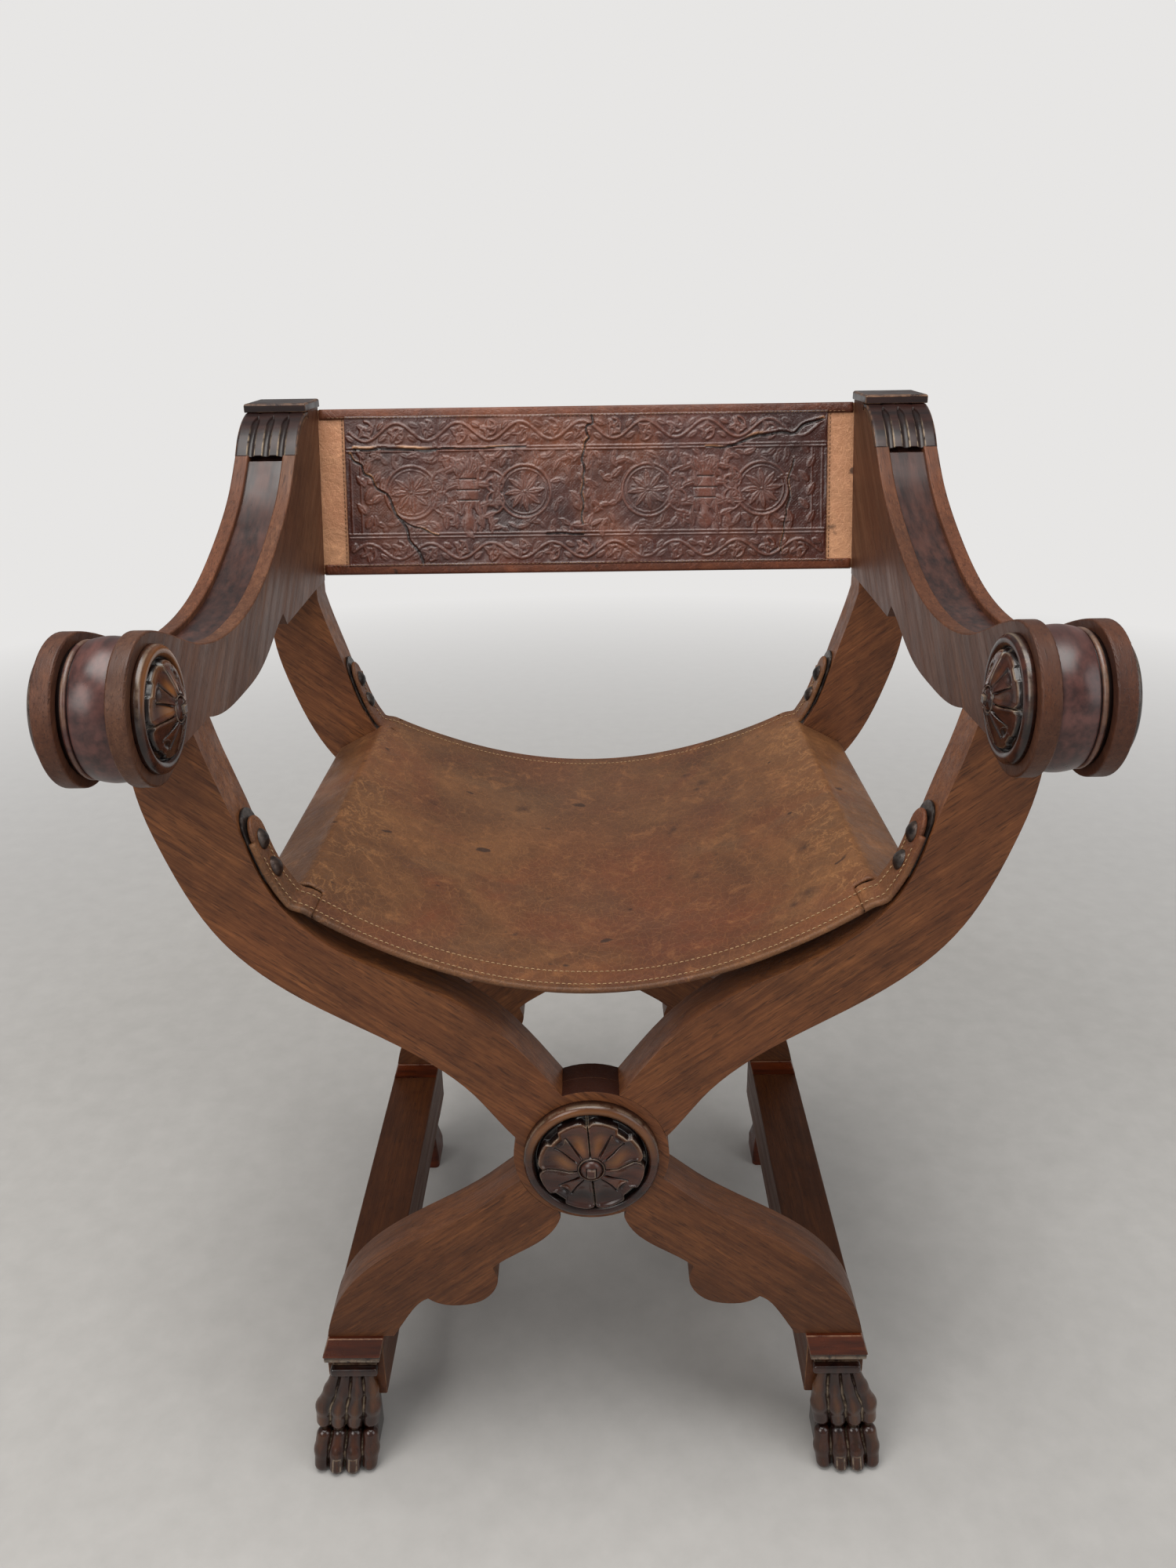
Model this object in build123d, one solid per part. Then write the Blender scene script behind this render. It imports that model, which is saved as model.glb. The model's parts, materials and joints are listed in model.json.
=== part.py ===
"""Folding X-frame armchair of the Savonarola type: two half-lapped X frames, each on its own
pivot pin, carved arms, paw-footed runners, a sling seat and a stretched leather back.

Units are millimetres.  +X is the sitter's left as seen from the front, -Y is the front, +Z is up.
Depths are first measured from the front face of the front frame, and the finished assembly is
then centred on the origin, which is the middle of its footprint on the floor.
"""

import os
from math import atan2, cos, degrees, radians, sin, sqrt

from build123d import *

# ---- Overall arrangement ----
FRAME_PITCH = 391.0  # front face of the front frame to front face of the rear frame
LEG_T = 37.0  # thickness of every leg, front to back
HUB_Z = 340.0  # height of the folding pivot
ARM_X = 267.0  # centre plane to the inner face of each arm
ARM_Z = 700.0  # height of the arm's underside over the front leg
FOOT_X = 206.5  # centre plane to the middle of each leg's foot
BLOCK_TOP = 150.0  # height of the blocks' top, where the legs stand

# ---- Leg outlines: distance outwards and rise, from the pivot, the arm or the foot ----
UPPER_OUTER_BY_HUB = ((42, 2), (61, 20), (90, 59), (148, 107), (215, 148), (268, 197))
UPPER_OUTER_BY_ARM = ((35, -91), (44, -60), (47.5, 0))
UPPER_INNER_BY_HUB = ((8, 38), (28, 66), (73, 121), (128, 159), (186, 190), (229, 237))
UPPER_INNER_BY_ARM = ((-19, -65), (-6, -23), (0, 0))
LOWER_OUTER_BY_HUB = ((40, -12), (62, -27), (88, -48.5), (148, -86))
LOWER_OUTER_BY_FOOT = ((-16.5, 73.5), (8, 42.5), (20.5, 10), (22.5, 0))
NECK_BY_HUB = ((26, -62), (45, -88), (65, -101), (84, -115))
LOBE_BY_HUB = ((80, -127), (84.5, -141), (95, -151), (110, -155.5), (130, -154), (140, -148))
LOWER_INNER_BY_FOOT = ((-59, 37), (-51, 27), (-43, 14), (-34.5, 0))

# ---- Half-lapped pivot ----
DISC_R = 62.0  # lapped disc of each member
LAP_GAP = 0.3  # clearance round each disc and between the two discs
PIN_R = 8.0  # pivot pin of a frame
PIN_RUN = 0.06  # radial running clearance of the pin in the turning member

# ---- Arms ----
BOARD_T = 12.5  # side board of an arm
CORE_W = 31.5  # dark filling between the two boards
CORE_DROP = 5.0  # how far the filling lies below the boards' top edge
SCROLL_R = 49.0  # round front end of the boards
SCROLL_AHEAD = 57.5  # scroll centre in front of the front frame
SCROLL_RISE = 37.7  # scroll centre above the arm's underside
DRUM_R = 46.0  # turned barrel between the boards
DRUM_SWELL = 2.0  # barrel's middle over its ends
GROOVE_DEPTH = 4.0  # grooves beside the barrel's bead
GROOVE_W = 1.0  # groove between barrel and bead
END_GROOVE_W = 2.5  # groove between bead and outer board
BEAD_W = 4.0
SHOULDER_RISE = 142.0  # foot of the reeded cap above the arm's underside
ARM_TOP_RISE = 176.0  # top of the arm above its underside
REAR_LAP = 39.0  # arm's lower rear corner behind the rear frame's front face
ARM_LEAN = 42.5  # how far the upper rear corner lies behind the lower one
REAR_STEP = 11.0  # arm's underside over the rear leg, above that over the front leg
SHOULDER_AHEAD = 27.0  # foot of the reeded cap in front of the rear frame
CAP_T = 7.0  # reeded cap
CAP_SEAT_L = 8.0  # level seat under the cap's foot
CAP_CREST_BACK = 27.0  # end of the cap's curve behind the rear frame's front face
CAP_BACK = 39.0  # back of the cap, likewise
PLATE_T = 8.0  # plate on top of the arm
PLATE_LAP = 1.2  # plate's overhang at the sides
PLATE_START = 24.0  # plate's front edge behind the rear frame's front face
PLATE_L = 61.0
EDGE = 1.5  # worn edge of the boards and legs
# Side outline of the boards: depth from either frame, and rise above the arm's underside
TOP_BY_FRONT = ((36.0, 54.5), (106.0, 44.0))
TOP_BY_REAR = ((-205.0, 51.5), (-125.0, 79.0), (-60.0, 114.0))
UNDER_BY_FRONT = ((79.0, -8.4), (122.0, -9.4))
UNDER_BY_REAR = ((-225.0, -7.4), (-184.0, 2.3), (-157.0, 12.0), (-131.0, 19.0))
HEEL_BY_REAR = (-121.0, 7.0)

# ---- Joinery ----
TENON_L = 28.0  # leg tenon standing in the arm's filling
TENON_SHOULDER = 8.0  # leg face left round that tenon
STUB_L = 12.0  # stub tenon of rails and runners
STUB_SHOULDER = 6.0  # shoulder round a stub tenon

# ---- Runners and feet ----
RUNNER_OUT = 3.3  # runner's middle outside the middle of the leg's foot
RUNNER_W = 49.6
RUNNER_H = 58.0
RUNNER_BACKSET = 8.0  # runner's front end behind the front legs' face
BLOCK_IN = 2.0  # middle of a block's top inside the middle of the leg's foot
BLOCK_W = 48.0  # block between a leg and the runner, across its top
BLOCK_H = 19.0
BLOCK_LIP = 2.0  # block beyond the leg, towards the other frame
BLOCK_NOSE = 3.3  # top of the block beyond the leg, away from the other frame
BLOCK_FLARE = 3.2  # growth of that nose towards the runner
BAND_H = 6.0  # plain band under the front block's nose
BAND_INSET = 1.0
CAVETTO_H = 11.0  # hollow moulding between the band and the paw's neck
CAVETTO_W = 38.5
NECK_W = 31.0
NECK_FRONT = 3.0  # neck's face behind the front legs' face
NECK_OUT = 2.9  # neck's middle outside the runner's middle
ANKLE_Z = 98.0
INSTEP_Z = 76.0
INSTEP_OUT = 7.2  # instep's middle outside the runner's middle
INSTEP_W = 50.0
KNUCKLE_Z = 60.0
KNUCKLE_AHEAD = 5.0  # knuckles in front of the front legs' face
PAW_SPLAY = 12.2  # toes' middle outside the runner's middle
PAW_W = 54.5
PAW_BACK = 44.0
PAD_W = 45.0  # underside of the paw
PAD_AHEAD = 3.0
TOES = 4
TOE_R = 7.6
TOE_Z = 41.0  # top of the toes
TOE_REACH = (8.5, 11.4, 11.4, 8.5)  # middle of each toe's tip in front of the front legs' face
TENDON_R = 6.6  # ridge from each toe up to the neck
TENDON_BACKSET = 9.0  # its upper end behind the front legs' face
REAR_FOOT_W = 40.0
REAR_FOOT_D = 46.0
REAR_ANKLE_W = 32.0
REAR_ANKLE_D = 30.0
REAR_ANKLE_Z = 40.0
REAR_PAD_Z = 15.0

# ---- Rosettes, heights from their seat ----
HUB_ROSETTE_R = 54.0
ARM_ROSETTE_R = 41.0
HUB_RING = (9.5, 5.2, 4.5)  # raised ring's width, its upright outer side and its crown above that
ARM_RING = (6.5, 3.4, 2.8)
RING_GROOVE = 1.5  # width of the groove inside the ring
RING_GROOVE_Z = 2.5
HUB_FIELD = (11.0, 12.0, 16.0)  # flower's ground by the ring, halfway in and at the boss
ARM_FIELD = (8.0, 12.3, 15.2)
HUB_BOSS_H = 22.0
ARM_BOSS_H = 19.0
HUB_BOSS_R = 8.6
ARM_BOSS_R = 7.0

# ---- Seat ----
LEATHER_T = 4.0
SOFT_GAP = 0.3  # clearance of leather from wood and metal
RAIL_T = 20.0
RAIL_W = 48.0
RAIL_RISE = 223.0  # inner top edge of the seat rail above the pivot
RAIL_IN = 6.3  # the same edge inside the legs' inner edge
RAIL_SLOPE = 27.0  # fall of the rail's face outwards, degrees
SLING_OVER_RAIL = 3.0  # sling's ends outside that edge
SLING_ON_RAIL = 4.0  # sling's underside at its ends, above that edge
SLING_FRONT_RISE = 149.0  # lowest point of the front hem, above the pivot
SLING_REAR_RISE = 170.0  # lowest point of the rear hem, above the pivot
SLING_INSET = 3.0  # hems behind and in front of the frames' outer faces
STRAP_ABOVE_RAIL = 68.5  # upper end of the nailed straps above the rail's edge
STRAP_BELOW_RAIL = 7.0
BACKING_ABOVE_STRAP = 5.5  # upper end of the strap's metal backing
BACKING_UNDER_NAIL = 5.0  # its lower end below the lower nail
BACKING_T = 2.0
STRAP_NAIL_DROPS = (43.5, 20.5)  # nails below the strap's upper end
NAIL_HEAD_R = 8.0
NAIL_HEAD_H = 4.5
SHANK_R = 1.6
SHANK_L = 16.0

# ---- Back ----
BACK_LIFT = 5.0  # leather's lower edge above the arm's lower rear corner
BACK_END = 4.0  # leather's end inside the arm's outer face
PANEL_END = 26.0  # plain strip at each end of the embossed panel
PANEL_EDGE = 8.0  # binding above and below the panel
PANEL_T = 2.5
BACK_NAILS = 5
BACK_NAIL_R = 5.5
BACK_NAIL_H = 3.0

# ---- Small details ----
CUT_OVER = 1.0  # how far a cutting solid passes the face that it cuts
PAW_CORNER = 9.0
FOOT_CORNER = 5.0
FLUTES = 3
FLUTE_W = 3.0
FLUTE_DEPTH = 2.5
PLATE_EASE = 1.2
CAP_OUTER_BULGE = 6.0
CAP_INNER_BULGE = 4.2
SLING_SLOPE_ALLOWANCE = 1.2  # upright thickness of the sling over the leather's own thickness

REAR_Y = FRAME_PITCH  # front face of the rear frame
STRAP_SEAT = BACKING_T + 2 * SOFT_GAP  # underside of a strap over the wood
BLOCK_X = FOOT_X - BLOCK_IN
RUNNER_X = FOOT_X + RUNNER_OUT
RUNNER_TOP = BLOCK_TOP - BLOCK_H
RUNNER_UNDER = RUNNER_TOP - RUNNER_H
RUNNER_REAR_Y = REAR_Y + LEG_T + BLOCK_NOSE + BLOCK_FLARE
STRAP_TOP_RISE = RAIL_RISE + STRAP_ABOVE_RAIL
STRAP_NAIL_RISES = [STRAP_TOP_RISE - drop for drop in STRAP_NAIL_DROPS]
ARM_OUT = ARM_X + 2 * BOARD_T + CORE_W
CORE_X = ARM_X + BOARD_T



def from_hub(points):
    """Outline points given as the distance out and the rise from the pivot."""
    return [(out, HUB_Z + rise) for out, rise in points]


def from_arm(points):
    """The same from the arm's lower inner edge."""
    return [(ARM_X + out, ARM_Z + rise) for out, rise in points]


def from_foot(points):
    """The same from the middle of the leg's foot."""
    return [(FOOT_X + out, BLOCK_TOP + rise) for out, rise in points]


UPPER_OUTER = from_hub(UPPER_OUTER_BY_HUB) + from_arm(UPPER_OUTER_BY_ARM)
UPPER_INNER = from_hub(UPPER_INNER_BY_HUB) + from_arm(UPPER_INNER_BY_ARM)
LOWER_OUTER = from_hub(LOWER_OUTER_BY_HUB) + from_foot(LOWER_OUTER_BY_FOOT)
LOWER_INNER_NECK = from_hub(NECK_BY_HUB)
LOBE = from_hub(LOBE_BY_HUB)
LOWER_INNER_FOOT = [LOBE[-1]] + from_foot(LOWER_INNER_BY_FOOT)


def on_xz(face):
    """Stand a drawn face up: its x stays X and its y becomes Z."""
    return Plane.XZ * face


def pull_back(face, start, depth):
    """Extrude a standing face backwards from depth start."""
    return Pos(0, start, 0) * extrude(on_xz(face), amount=depth, dir=(0, 1, 0))


def pull_out(face, start, width):
    """Extrude a face drawn in depth and height outwards from x = start."""
    return Pos(start, 0, 0) * extrude(Plane.YZ * face, amount=width)


def hub_cylinder(radius, start, depth):
    """Cylinder on the pivot's axis from depth start backwards."""
    place = Plane(origin=(0, start, HUB_Z), z_dir=(0, 1, 0))
    return place * Cylinder(radius, depth, align=(Align.CENTER, Align.CENTER, Align.MIN))


def mirrored(shape):
    return mirror(shape, about=Plane.YZ)


def spaced(low, high, count):
    """Evenly spaced values from low to high."""
    return [low + (high - low) * i / (count - 1) for i in range(count)]


# ---- Legs ----
def upper_leg_face(top_z):
    """Upper limb, from inside the disc to the arm's underside at top_z."""
    outer = Spline(*UPPER_OUTER)
    inner = Spline(*UPPER_INNER)
    rise = top_z - ARM_Z
    edges = [outer, inner, Line(UPPER_OUTER[0], UPPER_INNER[0])]
    if rise > 0:
        edges.append(Line(UPPER_OUTER[-1], (UPPER_OUTER[-1][0], top_z)))
        edges.append(Line((UPPER_OUTER[-1][0], top_z), (ARM_X, top_z)))
        edges.append(Line((ARM_X, top_z), UPPER_INNER[-1]))
    else:
        edges.append(Line(UPPER_OUTER[-1], UPPER_INNER[-1]))
    return make_face(edges)


def lower_leg_face():
    """Lower limb with its bracket lobe, from inside the disc to the foot block."""
    return make_face(
        [
            Spline(*LOWER_OUTER),
            Line(LOWER_OUTER[-1], LOWER_INNER_FOOT[-1]),
            Spline(*LOWER_INNER_FOOT),
            Spline(*LOBE),
            Line(LOBE[0], LOWER_INNER_NECK[-1]),
            Spline(*LOWER_INNER_NECK),
            Line(LOWER_INNER_NECK[0], LOWER_OUTER[0]),
        ]
    )


def arm_tenon(front, top_z, gap=0.0):
    """Tenon of a leg in the arm's filling; gap grows it into its mortise."""
    low = CORE_X + TENON_SHOULDER / 2 - gap
    high = CORE_X + CORE_W - TENON_SHOULDER / 2 + gap
    depth = LEG_T - 2 * TENON_SHOULDER + 2 * gap
    block = Box(high - low, depth, TENON_L + gap, align=(Align.MIN, Align.MIN, Align.MIN))
    return Pos(low, front + TENON_SHOULDER - gap, top_z) * block


def point_on_inner(rise):
    """Point of the upper limb's inner edge at a height above the pivot, and its outward normal."""
    curve = Spline(*UPPER_INNER)
    low, high = 0.0, 1.0
    for _ in range(40):
        middle = (low + high) / 2
        if (curve @ middle).Y < HUB_Z + rise:
            low = middle
        else:
            high = middle
    tangent = curve % low
    return curve @ low, Vector(-abs(tangent.Y), abs(tangent.X))


RAIL_X = point_on_inner(RAIL_RISE)[0].X - RAIL_IN


def rail_face(inset=0.0):
    """Section of the seat rail; its upper face falls outwards."""
    size_w = RAIL_W - 2 * inset
    size_t = RAIL_T - 2 * inset
    corner = Rectangle(size_w, size_t, align=(Align.MIN, Align.MAX))
    turned = Rot(0, 0, -RAIL_SLOPE) * Pos(inset, -inset) * corner
    return Pos(RAIL_X, HUB_Z + RAIL_RISE) * turned


def rail_tenon(start):
    return pull_back(rail_face(STUB_SHOULDER), start, STUB_L)


def on_leg(rise, front, proud):
    """Plane on the inner edge of a right-hand limb, proud of the wood, with its normal outward."""
    point, normal = point_on_inner(rise)
    origin = (point.X + normal.X * proud, front + LEG_T / 2, point.Y + normal.Y * proud)
    return Plane(origin=origin, x_dir=(0, 1, 0), z_dir=(normal.X, 0, normal.Y))


def strap_nail_seat(rise, front):
    """Plane under a strap nail's head, on the strap."""
    return on_leg(rise, front, STRAP_SEAT + LEATHER_T + SOFT_GAP)


def nail_shank(rise, front, grow=0.0):
    """Shank of a strap nail; grow makes it the clearance hole in strap and backing."""
    shank = Cylinder(SHANK_R + grow, SHANK_L, align=(Align.CENTER, Align.CENTER, Align.MAX))
    return strap_nail_seat(rise, front) * shank


def dome(radius, height):
    """Domed nail head, standing on its flat side."""
    ball_r = (radius**2 + height**2) / (2 * height)
    ball = Pos(0, 0, height - ball_r) * Sphere(ball_r)
    return ball & Cylinder(radius, height, align=(Align.CENTER, Align.CENTER, Align.MIN))


def strap_nail(rise, front):
    head = strap_nail_seat(rise, front) * dome(NAIL_HEAD_R, NAIL_HEAD_H)
    return head + nail_shank(rise, front)


def raw_upper_limb(front, top_z):
    return pull_back(upper_leg_face(top_z), front, LEG_T)


def member(front, top_z, disc_ahead, pin_hole, rail_inside_end):
    """One leg of a frame: upper limb at +X, lower limb crossed to -X, half-lapped at the disc.

    disc_ahead says whether its disc is the front half of the lap; rail_inside_end is the depth
    where the stub tenon of the seat rail starts.
    """
    upper = raw_upper_limb(front, top_z)
    lower = mirrored(pull_back(lower_leg_face(), front, LEG_T))
    skin = LEG_T / 2 - LAP_GAP / 2
    free = LEG_T / 2 + LAP_GAP / 2 + CUT_OVER
    if disc_ahead:
        disc = hub_cylinder(DISC_R, front, skin)
        recess = hub_cylinder(DISC_R + LAP_GAP, front + skin, free)
    else:
        disc = hub_cylinder(DISC_R, front + LEG_T - skin, skin)
        recess = hub_cylinder(DISC_R + LAP_GAP, front - CUT_OVER, free)
    leg = (upper + lower) - recess + disc
    leg = leg - hub_cylinder(pin_hole, front - CUT_OVER, LEG_T + 2 * CUT_OVER)
    leg = leg + arm_tenon(front, top_z) - rail_tenon(rail_inside_end)
    for rise in STRAP_NAIL_RISES:
        leg = leg - nail_shank(rise, front)
    return leg


# ---- Arms ----
SCROLL_Y = -SCROLL_AHEAD
SCROLL_Z = ARM_Z + SCROLL_RISE
ARM_TOP = ARM_Z + ARM_TOP_RISE
SHOULDER = (REAR_Y - SHOULDER_AHEAD, ARM_Z + SHOULDER_RISE)
CAP_SEAT = (SHOULDER[0] + CAP_SEAT_L, SHOULDER[1])
CAP_BACK_Y = REAR_Y + CAP_BACK
CAP_CREST_Y = REAR_Y + CAP_CREST_BACK
REAR_LOW = (REAR_Y + REAR_LAP, ARM_Z + REAR_STEP)
REAR_HIGH = (REAR_LOW[0] + ARM_LEAN, ARM_TOP)
TOP_START_ANGLE = 75.0


def scroll_point(angle, radius=SCROLL_R):
    return (SCROLL_Y + radius * cos(radians(angle)), SCROLL_Z + radius * sin(radians(angle)))


def cap_arc(low, high, bulge):
    """Convex arc from low to high that stands bulge proud of its chord."""
    dy, dz = high[0] - low[0], high[1] - low[1]
    run = sqrt(dy * dy + dz * dz)
    middle = ((low[0] + high[0]) / 2 - bulge * dz / run, (low[1] + high[1]) / 2 + bulge * dy / run)
    return ThreePointArc(low, middle, high)


def beside(frame_y, points):
    """Outline points given as the depth from a frame and the rise above the arm's underside."""
    return [(frame_y + depth, ARM_Z + rise) for depth, rise in points]


def board_face():
    """Side outline of an arm, in depth and height."""
    top_start = scroll_point(TOP_START_ANGLE)
    under_angle = 360 - degrees(atan2(SCROLL_RISE, sqrt(SCROLL_R**2 - SCROLL_RISE**2)))
    under_start = scroll_point(under_angle)
    heading = (sin(radians(TOP_START_ANGLE)), -cos(radians(TOP_START_ANGLE)))
    top = [top_start, *beside(0, TOP_BY_FRONT), *beside(REAR_Y, TOP_BY_REAR), SHOULDER]
    under = [(LEG_T, ARM_Z), *beside(0, UNDER_BY_FRONT), *beside(REAR_Y, UNDER_BY_REAR)]
    cusp = under[-1]
    heel = beside(REAR_Y, [HEEL_BY_REAR])[0]
    cap_low_back = (CAP_BACK_Y, ARM_TOP - CAP_T)
    return make_face(
        [
            CenterArc((SCROLL_Y, SCROLL_Z), SCROLL_R, TOP_START_ANGLE, under_angle - TOP_START_ANGLE),
            Spline(*top, tangents=[heading, (0.75, 0.66)]),
            Line(SHOULDER, CAP_SEAT),
            cap_arc(CAP_SEAT, (CAP_CREST_Y, ARM_TOP - CAP_T), CAP_INNER_BULGE),
            Line((CAP_CREST_Y, ARM_TOP - CAP_T), cap_low_back),
            Line(cap_low_back, (CAP_BACK_Y, ARM_TOP)),
            Line((CAP_BACK_Y, ARM_TOP), REAR_HIGH),
            Line(REAR_HIGH, REAR_LOW),
            Line(REAR_LOW, (REAR_Y, REAR_LOW[1])),
            Line((REAR_Y, REAR_LOW[1]), heel),
            Line(heel, cusp),
            Spline(*under),
            Line((LEG_T, ARM_Z), under_start),
        ]
    )


def arm_board(start):
    """Side board; the edges of its scrolled end are eased."""
    board = pull_out(board_face(), start, BOARD_T)
    scroll_edges = [edge for edge in board.edges() if (edge @ 0.5).Y < SCROLL_Y]
    return fillet(scroll_edges, EDGE)


def arm_core():
    """Filling between the boards, behind the turned barrel and below the boards' top edge."""
    outline = board_face()
    face = outline & (Pos(0, -CORE_DROP) * outline)
    face = face - Pos(SCROLL_Y, SCROLL_Z) * Circle(DRUM_R)
    nose = Rectangle(4 * SCROLL_R, 4 * SCROLL_R, align=(Align.MAX, Align.CENTER))
    face = face - Pos(SCROLL_Y + DRUM_R * 0.7, SCROLL_Z) * nose
    core = pull_out(face, CORE_X, CORE_W)
    core = core - arm_tenon(0, ARM_Z) - arm_tenon(REAR_Y, REAR_LOW[1])
    for nail in back_nail_places(1):
        core = core - nail * Cylinder(SHANK_R, SHANK_L, align=(Align.CENTER, Align.CENTER, Align.MIN))
    return core


def turned(profile, place):
    """Revolve a profile of (radius, height) edges about the Z axis of a plane."""
    return place * revolve(Plane.XZ * make_face(profile), Axis.Z)


def arm_drum():
    """Barrel between the scroll ends, with one bead by the outer board."""
    ends, seat = DRUM_R - DRUM_SWELL, DRUM_R - GROOVE_DEPTH
    bead_high = CORE_W - END_GROOVE_W
    bead_low = bead_high - BEAD_W
    barrel = bead_low - GROOVE_W
    bead_crown = (seat + BEAD_W / 2, (bead_low + bead_high) / 2)
    edges = [
        Line((0, 0), (ends, 0)),
        ThreePointArc((ends, 0), (DRUM_R, barrel / 2), (ends, barrel)),
        Line((ends, barrel), (seat, barrel)),
        Line((seat, barrel), (seat, bead_low)),
        ThreePointArc((seat, bead_low), bead_crown, (seat, bead_high)),
        Line((seat, bead_high), (seat, CORE_W)),
        Line((seat, CORE_W), (0, CORE_W)),
        Line((0, CORE_W), (0, 0)),
    ]
    return turned(edges, Plane(origin=(CORE_X, SCROLL_Y, SCROLL_Z), z_dir=(1, 0, 0)))


def arm_cap():
    """Reeded quarter-round over the top of the arm, full width, with three flutes."""
    outer_high = (CAP_CREST_Y, ARM_TOP)
    low_back = (CAP_BACK_Y, ARM_TOP - CAP_T)
    inner_high = (CAP_CREST_Y, ARM_TOP - CAP_T)
    face = make_face(
        [
            cap_arc(SHOULDER, outer_high, CAP_OUTER_BULGE),
            Line(outer_high, (CAP_BACK_Y, ARM_TOP)),
            Line((CAP_BACK_Y, ARM_TOP), low_back),
            Line(low_back, inner_high),
            cap_arc(CAP_SEAT, inner_high, CAP_INNER_BULGE),
            Line(CAP_SEAT, SHOULDER),
        ]
    )
    width = ARM_OUT - ARM_X
    cap = pull_out(face, ARM_X, width)
    flute_path = make_face(
        [
            cap_arc(SHOULDER, outer_high, CAP_OUTER_BULGE),
            Line(outer_high, inner_high),
            Line(inner_high, SHOULDER),
        ]
    )
    skin = Pos(0, -FLUTE_DEPTH) * flute_path
    for i in range(FLUTES):
        x = ARM_X + width * (i + 1) / (FLUTES + 1) - FLUTE_W / 2
        cap = cap - (pull_out(face, x, FLUTE_W) - pull_out(skin, x, FLUTE_W) - behind_flute(x))
    return cap


def behind_flute(x):
    """Everything of the cap that a flute leaves: the part near its seat and under the plate."""
    block = Box(FLUTE_W, 4 * CAP_BACK_Y, 4 * CAP_T, align=(Align.MIN, Align.MIN, Align.MIN))
    return Pos(x, CAP_CREST_Y - CAP_T, ARM_TOP - 2 * CAP_T) * block


def arm_plate():
    width = ARM_OUT - ARM_X + 2 * PLATE_LAP
    plate = Box(width, PLATE_L, PLATE_T, align=(Align.MIN, Align.MIN, Align.MIN))
    plate = chamfer(plate.edges().group_by(Axis.Z)[-1], PLATE_EASE)
    return Pos(ARM_X - PLATE_LAP, REAR_Y + PLATE_START, ARM_TOP) * plate


def rosette(radius, ring_sizes, field, boss_r, boss_h, place):
    """Turned ground of a flower rosette: ring, groove, flower's ground and boss."""
    ring_w, wall, crown_h = ring_sizes
    ring = radius - ring_w
    rim = ring - RING_GROOVE
    crown = (radius - ring_w / 2, wall + crown_h)
    by_ring, halfway, at_boss = field
    edges = [
        Line((0, 0), (radius, 0)),
        Line((radius, 0), (radius, wall)),
        ThreePointArc((radius, wall), crown, (ring, wall)),
        Line((ring, wall), (ring, RING_GROOVE_Z)),
        Line((ring, RING_GROOVE_Z), (rim, RING_GROOVE_Z)),
        Line((rim, RING_GROOVE_Z), (rim, by_ring)),
        ThreePointArc((rim, by_ring), ((rim + boss_r) / 2, halfway), (boss_r, at_boss)),
        Line((boss_r, at_boss), (boss_r, boss_h)),
        Line((boss_r, boss_h), (0, boss_h)),
        Line((0, boss_h), (0, 0)),
    ]
    return turned(edges, place)


def arm_rosette(outer):
    """Flower rosette on the scroll's outer or inner face."""
    start, way = (ARM_OUT, 1) if outer else (ARM_X, -1)
    place = Plane(origin=(start, SCROLL_Y, SCROLL_Z), z_dir=(way, 0, 0))
    return rosette(ARM_ROSETTE_R, ARM_RING, ARM_FIELD, ARM_BOSS_R, ARM_BOSS_H, place)


# ---- Runners and feet ----
def runner():
    """Rail along the side, under the blocks of both legs."""
    size_y = RUNNER_REAR_Y - RUNNER_BACKSET
    bar = Box(RUNNER_W, size_y, RUNNER_H, align=(Align.CENTER, Align.MIN, Align.MAX))
    bar = fillet(bar.edges().filter_by(Axis.Y), EDGE)
    return Pos(RUNNER_X, RUNNER_BACKSET, RUNNER_TOP) * bar


def leg_block(lip_y, nose_y, flare):
    """Block between a leg and the runner, leaning outwards; its nose flares downwards."""
    head = Rectangle(BLOCK_W, abs(nose_y - lip_y))
    foot = Rectangle(RUNNER_W, abs(nose_y + flare - lip_y))
    head_place = Pos(BLOCK_X, (lip_y + nose_y) / 2, BLOCK_TOP)
    foot_place = Pos(RUNNER_X, (lip_y + nose_y + flare) / 2, RUNNER_TOP)
    return loft([foot_place * foot, head_place * head], ruled=True)


def capsule(low, high, radius):
    """Round-ended bar between two points."""
    a, b = Vector(*low), Vector(*high)
    bar = Plane(origin=a, z_dir=b - a) * Cylinder(
        radius, (b - a).length, align=(Align.CENTER, Align.CENTER, Align.MIN)
    )
    return bar + Pos(a) * Sphere(radius) + Pos(b) * Sphere(radius)


def moulding():
    """Plain band and hollow moulding between the front block and the paw's neck."""
    nose = BAND_INSET - BLOCK_NOSE - BLOCK_FLARE
    band_low = RUNNER_TOP - BAND_H
    low = band_low - CAVETTO_H
    band_w = RUNNER_W - 2 * BAND_INSET
    band = Box(band_w, RUNNER_BACKSET - nose, BAND_H, align=(Align.CENTER, Align.MIN, Align.MAX))
    hollow_top = nose + BAND_INSET
    share = sqrt(0.5)
    hollow_middle = (hollow_top + (NECK_FRONT - hollow_top) * share, low + CAVETTO_H * share)
    hollow = make_face(
        [
            Line((hollow_top, band_low), (RUNNER_BACKSET, band_low)),
            Line((RUNNER_BACKSET, band_low), (RUNNER_BACKSET, low)),
            Line((RUNNER_BACKSET, low), (NECK_FRONT, low)),
            ThreePointArc((NECK_FRONT, low), hollow_middle, (hollow_top, band_low)),
        ]
    )
    hollow_start = RUNNER_X - CAVETTO_W / 2
    return Pos(RUNNER_X, nose, RUNNER_TOP) * band + pull_out(hollow, hollow_start, CAVETTO_W)


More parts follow.
